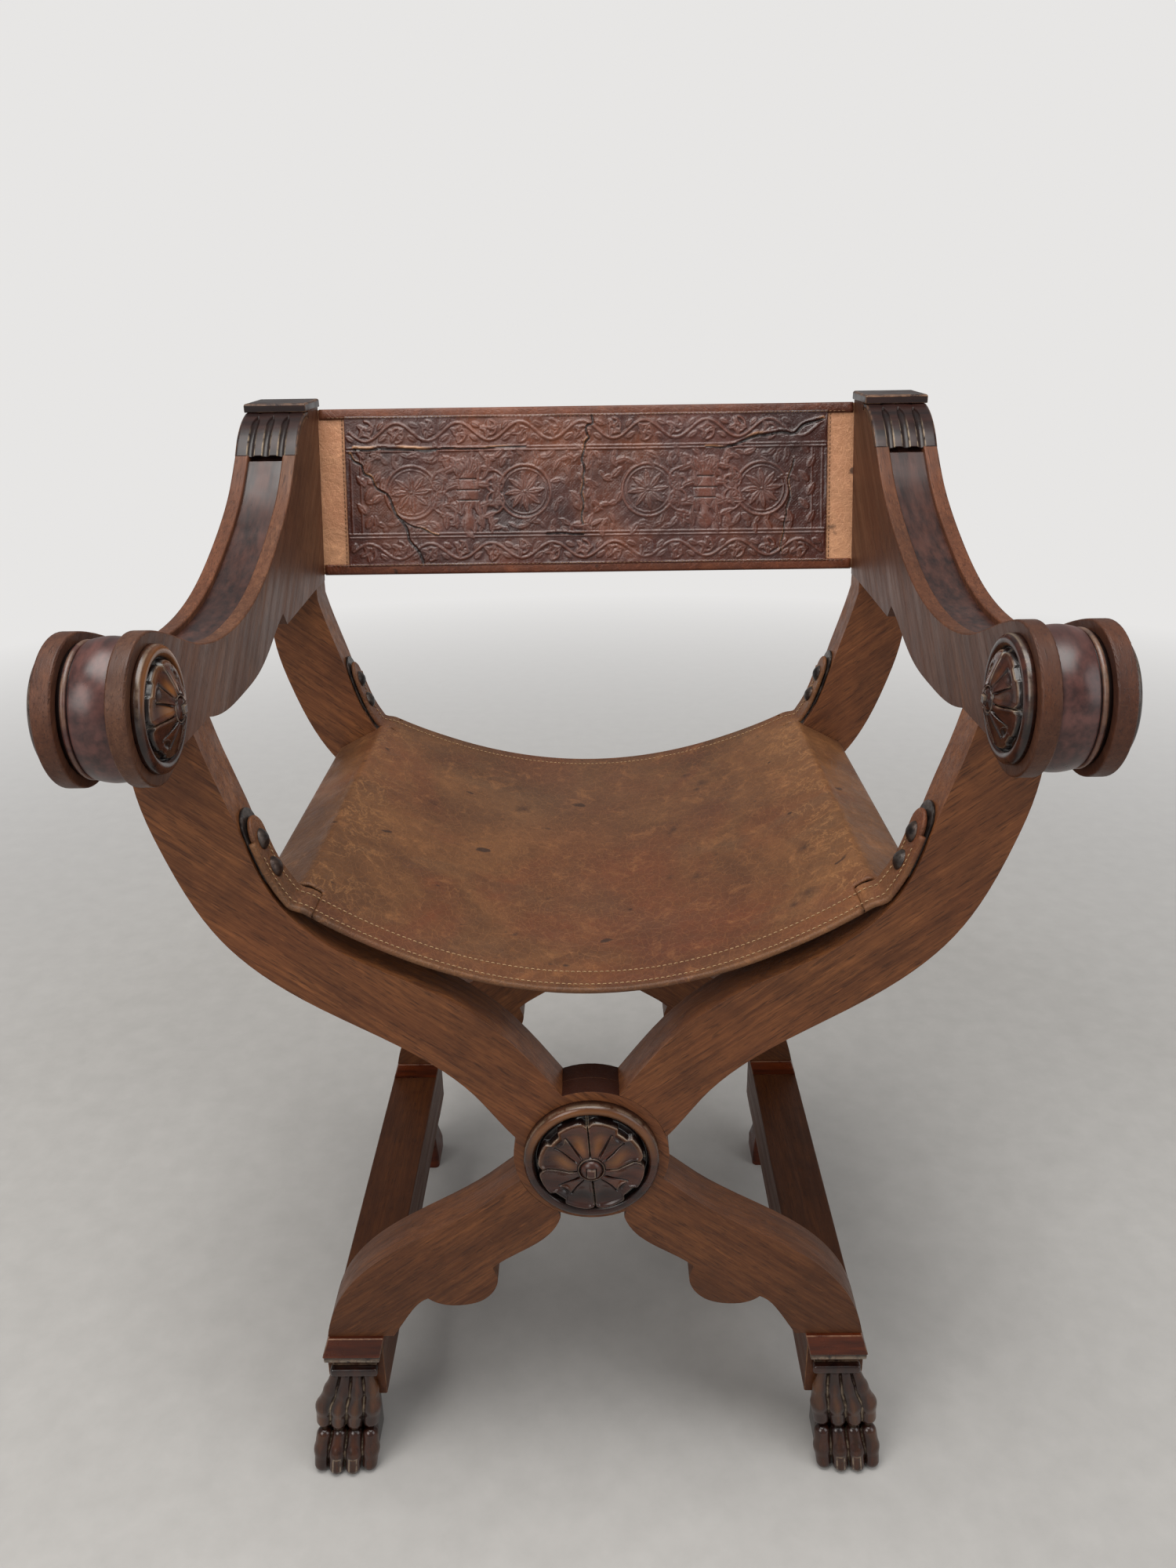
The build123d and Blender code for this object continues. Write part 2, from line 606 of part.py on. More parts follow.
def front_foot():
    """Lion's paw before and under the runner's front end, splayed outwards."""
    paw_x = RUNNER_X + PAW_SPLAY
    neck_x = RUNNER_X + NECK_OUT
    stations = [
        (RUNNER_TOP - BAND_H - CAVETTO_H, neck_x, NECK_W, NECK_FRONT),
        (ANKLE_Z, neck_x, NECK_W, NECK_FRONT),
        (INSTEP_Z, RUNNER_X + INSTEP_OUT, INSTEP_W, 0),
        (KNUCKLE_Z, paw_x, PAW_W - BAND_INSET, -KNUCKLE_AHEAD),
        (TOE_Z, paw_x, PAW_W - 2 * BAND_INSET, -PAD_AHEAD),
        (0, paw_x, PAD_W, -PAD_AHEAD),
    ]
    sections = []
    for z, x, width, front in stations:
        outline = RectangleRounded(width, PAW_BACK - front, PAW_CORNER)
        sections.append(Pos(x, (front + PAW_BACK) / 2, z) * outline)
    paw = loft(sections, ruled=True)
    toe_x = spaced(paw_x - PAW_W / 2 + TOE_R, paw_x + PAW_W / 2 - TOE_R, TOES)
    tendon_half = NECK_W / 2 - TENDON_R / 2
    tendon_x = spaced(neck_x - tendon_half, neck_x + tendon_half, TOES)
    for x, upper_x, reach in zip(toe_x, tendon_x, TOE_REACH):
        paw = paw + capsule((x, -reach, TOE_R), (x, 0, TOE_Z - TOE_R), TOE_R)
        tendon_low = (x, 0, TOE_Z + TENDON_R)
        paw = paw + capsule(tendon_low, (upper_x, TENDON_BACKSET, ANKLE_Z), TENDON_R)
    behind = Box(2 * PAW_W, 2 * PAW_BACK, RUNNER_H, align=(Align.CENTER, Align.MIN, Align.MIN))
    return paw - Pos(RUNNER_X, RUNNER_BACKSET, RUNNER_UNDER) * behind + moulding()


def rear_foot():
    """Plain foot under the runner's rear end, spreading towards the floor."""
    stations = [
        (RUNNER_UNDER, RUNNER_W, REAR_FOOT_D),
        (REAR_ANKLE_Z, REAR_ANKLE_W, REAR_ANKLE_D),
        (REAR_PAD_Z, REAR_FOOT_W, REAR_FOOT_D),
        (0, REAR_FOOT_W, REAR_FOOT_D),
    ]
    sections = []
    for z, width, depth in stations:
        place = Pos(RUNNER_X, RUNNER_REAR_Y - REAR_FOOT_D / 2, z)
        sections.append(place * RectangleRounded(width, depth, FOOT_CORNER))
    return loft(sections, ruled=True)


# ---- Seat rail ----
def seat_rail():
    bar = pull_back(rail_face(), LEG_T, REAR_Y - LEG_T)
    return bar + rail_tenon(LEG_T - STUB_L) + rail_tenon(REAR_Y)


# ---- Pivot ----
def hub_rosette(front):
    """Large flower rosette on a hub; it covers the pin's end."""
    depth, way = (0, -1) if front else (REAR_Y + LEG_T, 1)
    place = Plane(origin=(0, depth, HUB_Z), z_dir=(0, way, 0))
    return rosette(HUB_ROSETTE_R, HUB_RING, HUB_FIELD, HUB_BOSS_R, HUB_BOSS_H, place)


def pivot_pin(front):
    """Pin through both halves of one lap, flush with the frame's faces."""
    return hub_cylinder(PIN_R, front, LEG_T)


# ---- Seat leather ----
def sling_section(low_rise, depth):
    """Section of the sling at one hem: two parabolas a leather's thickness apart."""
    end = HUB_Z + RAIL_RISE + SLING_ON_RAIL
    control = 2 * (HUB_Z + low_rise) - end
    half, thick = RAIL_X + SLING_OVER_RAIL, LEATHER_T * SLING_SLOPE_ALLOWANCE
    under = Bezier((-half, end), (0, control), (half, end))
    over = Bezier((-half, end + thick), (0, control + thick), (half, end + thick))
    sides = [Line((x, end), (x, end + thick)) for x in (-half, half)]
    return Pos(0, depth, 0) * on_xz(make_face([under, over, *sides]))


def rail_wrap():
    """Leather over the rail's upper face, round its outer edge and a little way under it."""
    ring = offset(rail_face(), SOFT_GAP + LEATHER_T) - offset(rail_face(), SOFT_GAP)
    away = Rectangle(RAIL_W, 2 * RAIL_T, align=(Align.MAX, Align.MAX))
    away_side = Pos(RAIL_X, HUB_Z + RAIL_RISE) * Rot(0, 0, -RAIL_SLOPE) * Pos(0, -1) * away
    away_under = (
        Pos(RAIL_X, HUB_Z + RAIL_RISE)
        * Rot(0, 0, -RAIL_SLOPE)
        * Pos(RAIL_W / 2, -RAIL_T / 2)
        * away
    )
    wrap = ring - away_side - away_under
    return pull_back(wrap, LEG_T + SOFT_GAP, REAR_Y - LEG_T - 2 * SOFT_GAP)


def on_limb(front, top_z, near, far, low_rise, high_rise):
    """Layer on the inner edge of a limb, between two distances from the wood."""
    _, normal = point_on_inner((STRAP_NAIL_RISES[0] + STRAP_NAIL_RISES[-1]) / 2)
    limb = raw_upper_limb(front, top_z)
    outer = Pos(normal.X * far, 0, normal.Y * far) * limb
    inner = Pos(normal.X * near, 0, normal.Y * near) * limb
    room = Box(
        ARM_X,
        LEG_T - 2 * SLING_INSET,
        high_rise - low_rise,
        align=(Align.MIN, Align.MIN, Align.MIN),
    )
    return (outer - inner) & (Pos(0, front + SLING_INSET, HUB_Z + low_rise) * room)


def strap(front, top_z):
    far = STRAP_SEAT + LEATHER_T
    foot_rise = RAIL_RISE - STRAP_BELOW_RAIL
    return on_limb(front, top_z, STRAP_SEAT, far, foot_rise, STRAP_TOP_RISE)


def backing(front, top_z):
    """Metal backing of a strap, with holes for its nails."""
    far = SOFT_GAP + BACKING_T
    foot_rise = min(STRAP_NAIL_RISES) - BACKING_UNDER_NAIL
    plate = on_limb(front, top_z, SOFT_GAP, far, foot_rise, STRAP_TOP_RISE + BACKING_ABOVE_STRAP)
    for rise in STRAP_NAIL_RISES:
        plate = plate - nail_shank(rise, front, SOFT_GAP)
    return plate


FRAMES = ((0, ARM_Z), (REAR_Y, ARM_Z + REAR_STEP))


def seat_leather():
    """Sling seat: hems over both frames, a wrap round each rail and four nailed straps."""
    front = sling_section(SLING_FRONT_RISE, SLING_INSET)
    rear = sling_section(SLING_REAR_RISE, REAR_Y + LEG_T - SLING_INSET)
    leather = loft([front, rear], ruled=True)
    side = rail_wrap()
    for start, top_z in FRAMES:
        tab = strap(start, top_z)
        for rise in STRAP_NAIL_RISES:
            tab = tab - nail_shank(rise, start, SOFT_GAP)
        side = side + tab
    return leather + side + mirrored(side)


# ---- Back leather ----
BACK_RISE = ARM_TOP - REAR_LOW[1]
BACK_LENGTH = sqrt(ARM_LEAN**2 + BACK_RISE**2)
BACK_PLANE = Plane(
    origin=(0, REAR_LOW[0], REAR_LOW[1]), x_dir=(1, 0, 0), z_dir=(0, -BACK_RISE, ARM_LEAN)
)
BACK_TOP_GAP = 2.0


def back_nail_places(side):
    """Seats of the nails in the back leather, on one arm, with Z into the wood."""
    x = side * (CORE_X + CORE_W / 2)
    for up in spaced(3 * BACK_LIFT, BACK_LENGTH - 3 * BACK_LIFT, BACK_NAILS):
        yield BACK_PLANE * Pos(x, up, -(LEATHER_T + 2 * SOFT_GAP))


def back_leather():
    width = 2 * (ARM_OUT - BACK_END)
    height = BACK_LENGTH - BACK_LIFT - BACK_TOP_GAP
    sheet = Box(width, height, LEATHER_T, align=(Align.CENTER, Align.MIN, Align.MAX))
    sheet = BACK_PLANE * Pos(0, BACK_LIFT, -SOFT_GAP) * sheet
    for side in (1, -1):
        for nail in back_nail_places(side):
            hole = Cylinder(SHANK_R + SOFT_GAP, 3 * LEATHER_T)
            sheet = sheet - nail * hole
    return sheet


def back_panel():
    """Embossed leather sewn to the front of the back, between its bindings."""
    width = 2 * (ARM_X - PANEL_END)
    height = BACK_LENGTH - BACK_LIFT - BACK_TOP_GAP - 2 * PANEL_EDGE
    panel = Box(width, height, PANEL_T, align=(Align.CENTER, Align.MIN, Align.MIN))
    return BACK_PLANE * Pos(0, BACK_LIFT + PANEL_EDGE, -SOFT_GAP) * panel


def back_nails(side):
    head = Rot(180, 0, 0) * dome(BACK_NAIL_R, BACK_NAIL_H)
    shank = Cylinder(SHANK_R, SHANK_L, align=(Align.CENTER, Align.CENTER, Align.MIN))
    return [place * (head + shank) for place in back_nail_places(side)]


def strap_nails():
    return [strap_nail(rise, front) for front, _ in FRAMES for rise in STRAP_NAIL_RISES]


# ---- The whole chair ----
def build():
    """Every named piece, mirrored where the two sides are alike."""
    fixed, turning = PIN_R, PIN_R + PIN_RUN
    rail_front, rail_rear = LEG_T - STUB_L, REAR_Y
    rear_top = ARM_Z + REAR_STEP
    pieces = {
        "front_leg_a": mirrored(member(0, ARM_Z, True, fixed, rail_front)),
        "front_leg_b": member(0, ARM_Z, False, turning, rail_front),
        "rear_leg_a": mirrored(member(REAR_Y, rear_top, False, fixed, rail_rear)),
        "rear_leg_b": member(REAR_Y, rear_top, True, turning, rail_rear),
        "hub_rosette_front": hub_rosette(True),
        "hub_rosette_rear": hub_rosette(False),
        "pivot_pin_front": pivot_pin(0),
        "pivot_pin_rear": pivot_pin(REAR_Y),
        "seat_leather": seat_leather(),
        "back_leather": back_leather(),
        "back_embossed_panel": back_panel(),
    }
    paired = {
        "arm_inner_board": arm_board(ARM_X),
        "arm_outer_board": arm_board(CORE_X + CORE_W),
        "arm_core": arm_core(),
        "scroll_drum": arm_drum(),
        "arm_cap": arm_cap(),
        "arm_plate": arm_plate(),
        "scroll_rosette_inner": arm_rosette(False),
        "scroll_rosette_outer": arm_rosette(True),
        "runner": runner(),
        "front_block": leg_block(LEG_T + BLOCK_LIP, -BLOCK_NOSE, -BLOCK_FLARE),
        "rear_block": leg_block(REAR_Y - BLOCK_LIP, REAR_Y + LEG_T + BLOCK_NOSE, BLOCK_FLARE),
        "front_paw_foot": front_foot(),
        "rear_foot": rear_foot(),
        "seat_rail": seat_rail(),
    }
    for name, shape in paired.items():
        pieces[name + "_right"] = shape
        pieces[name + "_left"] = mirrored(shape)
    grouped = {
        "strap_backing": [backing(*frame) for frame in FRAMES],
        "strap_nails": strap_nails(),
        "back_nails": back_nails(1),
    }
    for name, shapes in grouped.items():
        pieces[name + "_right"] = Compound(children=shapes)
        pieces[name + "_left"] = Compound(children=[mirrored(shape) for shape in shapes])
    return pieces


def main():
    pieces = build()
    boxes = [shape.bounding_box() for shape in pieces.values()]
    front = min(box.min.Y for box in boxes)
    rear = max(box.max.Y for box in boxes)
    centre = Pos(0, -(front + rear) / 2, 0)
    os.makedirs("parts", exist_ok=True)
    for name, shape in pieces.items():
        export_step(centre * shape, f"parts/{name}.step")


main()
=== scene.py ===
"""Looks of the folding X-frame armchair: woods, leathers, carving, stitching, light and camera."""

import json
from math import atan2, cos, hypot, pi, radians, sin, sqrt

import bmesh
import bpy
import numpy as np
from mathutils import Matrix, Vector


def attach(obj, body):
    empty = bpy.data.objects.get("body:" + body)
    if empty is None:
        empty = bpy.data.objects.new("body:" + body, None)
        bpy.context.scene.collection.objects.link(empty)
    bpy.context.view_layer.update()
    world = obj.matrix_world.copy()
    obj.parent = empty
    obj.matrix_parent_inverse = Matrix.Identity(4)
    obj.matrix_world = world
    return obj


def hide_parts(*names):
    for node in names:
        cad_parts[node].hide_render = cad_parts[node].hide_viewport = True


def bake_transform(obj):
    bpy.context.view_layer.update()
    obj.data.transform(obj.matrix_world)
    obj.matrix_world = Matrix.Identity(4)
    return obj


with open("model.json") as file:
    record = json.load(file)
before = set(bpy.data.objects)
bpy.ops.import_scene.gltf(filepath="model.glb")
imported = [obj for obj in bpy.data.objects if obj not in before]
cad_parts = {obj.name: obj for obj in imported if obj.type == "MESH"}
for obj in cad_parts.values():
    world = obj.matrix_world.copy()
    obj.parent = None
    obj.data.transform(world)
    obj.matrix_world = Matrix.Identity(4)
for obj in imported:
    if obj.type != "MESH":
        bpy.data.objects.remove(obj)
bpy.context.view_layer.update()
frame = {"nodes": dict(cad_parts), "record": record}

NODES = frame["nodes"]
BODY_OF = {n: body for body, names in frame["record"]["behaviour"]["bodies"].items() for n in names}

# ---- Sizes of the CAD model that the new pieces need, millimetres ----
FRONT_Y = -184.9  # front face of the front frame
REAR_Y = 391.0  # front face of the rear frame, behind the front one
LEG_T = 37.0
LEG_MIDDLES = (LEG_T / 2, REAR_Y + LEG_T / 2)
HUB_Z = 340.0
LAP_R = 62.0
ARM_X = 267.0
BOARD_T = 12.5
CORE_W = 31.5
ARM_OUT = ARM_X + 2 * BOARD_T + CORE_W
ARM_Z = 700.0
ARM_TOP = 876.0
SCROLL = (-57.5, 737.7)
RAIL = (214.0, 563.0)
RAIL_SLOPE = radians(27.0)
RAIL_W = 48.0
RAIL_T = 20.0
SIDES = ((1, "right"), (-1, "left"))


# ---------------------------------------------------------------- mesh helpers
def grid_faces(rows, cols, closed=False):
    index = np.arange(rows * cols).reshape(rows, cols)
    if closed:
        index = np.hstack([index, index[:, :1]])
    a, b, c, d = index[:-1, :-1], index[:-1, 1:], index[1:, 1:], index[1:, :-1]
    return np.stack([a.ravel(), b.ravel(), c.ravel(), d.ravel()], axis=1)


def tube_faces(rows, cols):
    """Faces of a closed strip and of its two ends."""
    first, last = list(range(cols)), list(range((rows - 1) * cols, rows * cols))
    return grid_faces(rows, cols, closed=True).tolist() + [first[::-1], last]


def slab_faces(rows, cols):
    """Faces of an upper grid, of a lower one after it, and of the strip round both."""
    count = rows * cols
    index = np.arange(count).reshape(rows, cols)
    rim = np.concatenate([index[0, :], index[1:, -1], index[-1, -2::-1], index[-2:0:-1, 0]])
    after = np.roll(rim, -1)
    quads = grid_faces(rows, cols)
    edge = np.stack([rim, rim + count, after + count, after], axis=1)
    return np.concatenate([quads, quads[:, ::-1] + count, edge]).tolist()


def merged(parts):
    """Points and faces of several meshes as one."""
    points, faces, count = [], [], 0
    for verts, quads in parts:
        points.append(np.asarray(verts, float))
        faces += [[i + count for i in face] for face in quads]
        count += len(verts)
    return np.concatenate(points), faces


def to_row(points):
    """Millimetres with depth from the front frame's face to metres in the row frame."""
    out = np.array(points, dtype=float)
    out[..., 1] += FRONT_Y
    return out.reshape(-1, 3) / 1000.0


def clipped(marks, extra=0):
    """Marks held between 0 and 1, one row each, with zeros for extra points after them."""
    return {key: np.append(np.clip(v, 0, 1).ravel(), np.zeros(extra)) for key, v in marks.items()}


def link(name, data):
    """New object for a mesh, lamp or camera, in the scene."""
    obj = bpy.data.objects.new(name, data)
    bpy.context.scene.collection.objects.link(obj)
    return obj


def make_object(name, points, faces, marks=None, outward=True):
    """Mesh object from points in millimetres; marks are named values of each point."""
    mesh = bpy.data.meshes.new(name)
    mesh.from_pydata(to_row(points).tolist(), [], [list(map(int, f)) for f in faces])
    for key, values in (marks or {}).items():
        layer = mesh.attributes.new(key, "FLOAT", "POINT")
        layer.data.foreach_set("value", np.asarray(values, dtype=np.float32))
    if outward:
        bm = bmesh.new()
        bm.from_mesh(mesh)
        bmesh.ops.recalc_face_normals(bm, faces=bm.faces)
        bm.to_mesh(mesh)
        bm.free()
    smooth(mesh)
    return link(name, mesh)


def smooth(mesh):
    mesh.polygons.foreach_set("use_smooth", [True] * len(mesh.polygons))


def modify(obj, kind, **settings):
    made = obj.modifiers.new(kind.lower(), kind)
    for key, value in settings.items():
        setattr(made, key, value)


def apply_modifiers(obj):
    """Bake an object's modifiers into its mesh."""
    graph = bpy.context.evaluated_depsgraph_get()
    mesh = bpy.data.meshes.new_from_object(obj.evaluated_get(graph))
    obj.modifiers.clear()
    obj.data = mesh
    smooth(mesh)


def cover(obj, slot, material, node=None):
    """Give a new piece its material, in place of a CAD node if one is named; slot is not used."""
    if node:
        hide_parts(node)
    obj.data.materials.clear()
    obj.data.materials.append(material)
    return obj


def dress(obj, node, slot, material):
    """Put a new piece in place of a CAD node, on that node's body."""
    cover(obj, slot, material, node)
    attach(obj, BODY_OF[node])


def stain_lap_rim(mesh):
    """Mark the round rim of a lapped disc, where it shows between the upper limbs, as stained dark."""
    layer = mesh.attributes.new("stain", "FLOAT", "FACE")
    for face, value in zip(mesh.polygons, layer.data):
        x, z = face.center.x, face.center.z - HUB_Z / 1000
        away = hypot(x, z)
        radial = (x * face.normal.x + z * face.normal.z) / away
        on_rim = abs(away - LAP_R / 1000) < 0.0016 and radial > 0.6
        value.value = 0.92 if on_rim and abs(x) < 0.032 and z > 0 else 0.0


def worn_copy(node, slot, material, width, split):
    """A CAD solid's mesh with eased edges; the mark 'wear' is 1 along them."""
    bm = bmesh.new()
    bm.from_mesh(NODES[node].data)
    bmesh.ops.remove_doubles(bm, verts=bm.verts, dist=2e-6)
    bmesh.ops.dissolve_limit(bm, angle_limit=radians(0.6), verts=bm.verts, edges=bm.edges)
    sharp = [e for e in bm.edges if len(e.link_faces) == 2 and e.calc_face_angle(0) > radians(split)]
    made = bmesh.ops.bevel(
        bm, geom=sharp, offset=width / 1000, offset_type="OFFSET", segments=3, profile=0.5, affect="EDGES",
        clamp_overlap=True,
    )
    new = set(made["faces"])
    layer = bm.verts.layers.float.new("wear")
    for v in bm.verts:
        v[layer] = 1.0 if v.link_faces and all(f in new for f in v.link_faces) else 0.0
    bmesh.ops.triangulate(bm, faces=[f for f in bm.faces if len(f.verts) > 4])
    mesh = bpy.data.meshes.new("worn_" + node)
    bm.to_mesh(mesh)
    bm.free()
    smooth(mesh)
    if "_leg_" in node:
        stain_lap_rim(mesh)
    obj = link("worn_" + node, mesh)
    obj.modifiers.new("weigh", "WEIGHTED_NORMAL").keep_sharp = True
    dress(obj, node, slot, material)


def gaps(path):
    return np.linalg.norm(np.diff(path, axis=0), axis=1)


def reached(path):
    """Distance of each point of a polyline from its start."""
    return np.concatenate([[0], np.cumsum(gaps(path))])


def path_length(path):
    return float(gaps(np.asarray(path)).sum())


def along(path, distance):
    """Points at given distances along a polyline."""
    path = np.asarray(path, dtype=float)
    return rows_at(path, path, distance)


def rows_at(path, rows, distance):
    s = reached(path)
    return np.stack([np.interp(distance, s, rows[:, i]) for i in range(rows.shape[1])], axis=-1)


def unit(rows):
    return rows / np.linalg.norm(rows, axis=1)[:, None]


def offset_line(line, distance):
    """Flat line moved to its left by a distance."""
    way = unit(np.gradient(line, axis=0))
    return line + np.stack([-way[:, 1], way[:, 0]], axis=-1) * distance


def natural_spline(points, count):
    """Natural cubic curve through points, as count evenly spread samples."""
    pts = np.array(points, dtype=float)
    pts = pts[np.concatenate([[True], gaps(pts) > 1e-6])]
    t = reached(pts)
    h = np.diff(t)
    n = len(pts)
    m = np.eye(n)
    rhs = np.zeros((n, pts.shape[1]))
    for i in range(1, n - 1):
        m[i, i - 1 : i + 2] = (h[i - 1], 2 * (h[i - 1] + h[i]), h[i])
        rhs[i] = 6 * ((pts[i + 1] - pts[i]) / h[i] - (pts[i] - pts[i - 1]) / h[i - 1])
    curve = np.linalg.solve(m, rhs)
    at = np.linspace(0, t[-1], count)
    k = np.clip(np.searchsorted(t, at) - 1, 0, n - 2)
    a = ((t[k + 1] - at) / h[k])[:, None]
    b = ((at - t[k]) / h[k])[:, None]
    bend = ((a**3 - a) * curve[k] + (b**3 - b) * curve[k + 1]) * (h[k] ** 2)[:, None] / 6
    return a * pts[k] + b * pts[k + 1] + bend


def bell(x, width):
    return np.exp(-((x / width) ** 2))


def step(x, low, high):
    t = np.clip((x - low) / (high - low), 0, 1)
    return t * t * (3 - 2 * t)


def soft_noise(p, scale, seed=0):
    """Smooth repeatable variation from -1 to 1 over points, without a lattice."""
    rng = np.random.default_rng(seed)
    out = np.zeros(p.shape[:-1])
    for _ in range(7):
        direction = rng.normal(size=p.shape[-1])
        direction /= np.linalg.norm(direction)
        out += np.sin(p @ direction * scale * rng.uniform(0.6, 1.7) + rng.uniform(0, 2 * pi))
    return out / 4.5


# ---------------------------------------------------------------- materials
class Nodes:
    """Shader nodes of a material or world, built from small calls."""

    def __init__(self, owner):
        owner.use_nodes = True
        self.tree = owner.node_tree
        self.tree.nodes.clear()

    def add(self, kind, props=None, **inputs):
        made = self.tree.nodes.new("ShaderNode" + kind)
        for key, value in (props or {}).items():
            setattr(made, key, value)
        for key, value in inputs.items():
            self.put(made, key, value)
        return made

    def put(self, made, key, value):
        """Link or set a socket, named with _ for a space, or i and its number."""
        socket = made.inputs[int(key[1:]) if key[1:].isdigit() else key.replace("_", " ")]
        if isinstance(value, bpy.types.NodeSocket):
            self.tree.links.new(value, socket)
        elif socket.type == "RGBA":
            socket.default_value = (*value, 1.0)
        else:
            socket.default_value = value

    def calc(self, kind, a, b=0.0):
        return self.add("Math", {"operation": kind, "use_clamp": kind == "ADD"}, i0=a, i1=b).outputs[0]


class Finish(Nodes):
    """A procedural material; its tone starts as one colour, and others are laid over it."""

    def __init__(self, name, tone=None):
        self.mat = bpy.data.materials.new(name)
        super().__init__(self.mat)
        self.shader = self.add("BsdfPrincipled")
        self.out = self.add("OutputMaterial", Surface=self.shader.outputs[0])
        self.tone = tone

    def where(self, scale=(1, 1, 1), turn=(0, 0, 0), shift=(0, 0, 0)):
        """Object coordinates, turned first and then stretched."""
        source = self.add("TexCoord").outputs["Object"]
        turned = self.add("Mapping", Vector=source, Rotation=turn, Location=shift)
        return self.add("Mapping", Vector=turned.outputs[0], Scale=scale).outputs[0]

    def noise(self, vector, scale, detail=4.0, rough=0.55, distort=0.0):
        made = self.add("TexNoise", Vector=vector, Scale=scale, Detail=detail, Roughness=rough, Distortion=distort)
        return made.outputs[0]

    def spots(self, vector, scale, feature="F1"):
        return self.add("TexVoronoi", {"feature": feature}, Vector=vector, Scale=scale).outputs["Distance"]

    def range(self, value, low, high, new_low=0.0, new_high=1.0):
        return self.add("MapRange", {"clamp": True}, Value=value, From_Min=low, From_Max=high, To_Min=new_low,
                        To_Max=new_high).outputs[0]

    def patch(self, vector, noise, *span):
        """Noise brought to a range."""
        return self.range(self.noise(vector, *noise), *span)

    def mark(self, name):
        return self.add("Attribute", {"attribute_name": name}).outputs["Fac"]

    def away(self, vector):
        return self.add("VectorMath", {"operation": "LENGTH"}, i0=vector).outputs["Value"]

    def lay(self, colour, share, strength=None):
        """Mix a colour over the tone by a share, times strength if one is given."""
        if strength is not None:
            share = self.calc("MULTIPLY", share, strength)
        self.tone = self.add("Mix", {"data_type": "RGBA"}, i0=share, i6=self.tone, i7=colour).outputs[2]

    def bumps(self, *layers):
        """Bumps of a height, a strength and a distance, each on top of the one before."""
        normal = None
        for height, strength, distance in layers:
            under = {} if normal is None else {"Normal": normal}
            normal = self.add("Bump", Height=height, Strength=strength, Distance=distance, **under).outputs[0]
        self.put(self.shader, "Normal", normal)

    def finish(self, rough, **plain):
        for key, value in {"Base_Color": self.tone, "Roughness": rough, **plain}.items():
            self.put(self.shader, key, value)
        return self.mat


def brighter(colour, times):
    return tuple(min(1.0, c * times) for c in colour)


def walnut(name, turn, light=(0.215, 0.081, 0.028), dark=(0.042, 0.0135, 0.0062), shift=(0.0, 0.21, -0.13),
           scroll=0.0):
    """Worn walnut with its grain along the turned X axis; scroll is how dark it gets at the arms' round ends."""
    f = Finish(name, light)
    line, long_way = f.where((1, 1, 1), turn, shift), f.where((0.055, 1, 1), turn, shift)
    ring = f.add("TexWave", {"wave_type": "RINGS", "rings_direction": "X"}, Vector=f.where((0.3, 1, 1), turn, shift),
                 Scale=6.0, Distortion=4.5, Detail=3.0, Detail_Scale=1.2).outputs["Fac"]
    f.lay(dark, f.range(ring, 0.15, 0.95, 0.0, 0.3))
    streak = f.noise(long_way, 210.0, 6.0, 0.7)
    f.lay(dark, f.range(streak, 0.38, 0.64, 0.0, 0.7))
    f.lay(dark, f.patch(long_way, (700.0, 3.0, 0.6), 0.42, 0.66, 0.0, 0.45))
    glint_line = f.where((0.07, 1, 1), turn, (0.7, 0.3, 0.2))
    f.lay(brighter(light, 1.7), f.patch(glint_line, (480.0, 4.0, 0.7), 0.6, 0.7, 0.0, 0.5))
    f.lay((0.15, 0.046, 0.018), f.patch(line, (6.0, 3.0, 0.55, 0.4), 0.3, 0.72), 0.4)
    patches = f.patch(line, (30.0, 5.0, 0.65, 0.3), 0.45, 0.75)
    f.lay((0.04, 0.0145, 0.0075), patches, 0.5)
    pores = f.patch(f.where((0.09, 1, 1), turn, shift), (900.0, 2.0, 0.5), 0.57, 0.68)
    f.lay((0.018, 0.0075, 0.0045), pores, 0.5)
    # Darker towards the floor: painted shade on the lower limbs under the seat.
    height = f.add("SeparateXYZ", Vector=f.where()).outputs["Z"]
    f.lay((0.034, 0.0105, 0.004), f.range(height, 0.31, 0.13, 0.0, 0.62))
    if scroll:
        near = f.range(f.away(f.where((0, 1, 1), (0, 0, 0), SCROLL_AT)), 0.036, 0.1, scroll, 0.0)
        f.lay((0.026, 0.0105, 0.008), near, f.patch(line, (22.0, 4.0, 0.6, 0.5), 0.34, 0.66, 0.35, 1.0))
    scuff_line = f.where((3, 0.6, 1), turn, shift)
    f.lay((0.26, 0.125, 0.055), f.patch(scuff_line, (60.0, 5.0, 0.75, 1.5), 0.66, 0.76, 0.0, 0.45))
    chipped = f.calc("MULTIPLY", f.patch(line, (60.0, 5.0, 0.7), 0.4, 0.64), 0.72)
    f.lay((0.30, 0.155, 0.072), f.mark("wear"), chipped)
    f.lay((0.022, 0.0062, 0.0042), f.mark("stain"))
    f.lay((0.36, 0.26, 0.18), f.mark("wax_and_glint"))
    f.bumps((pores, 0.3, 0.0004), (streak, 0.28, 0.0006), (patches, 0.12, 0.001))
    return f.finish(f.patch(long_way, (110.0, 4.0), 0.3, 0.7, 0.36, 0.56), Specular_IOR_Level=0.24)


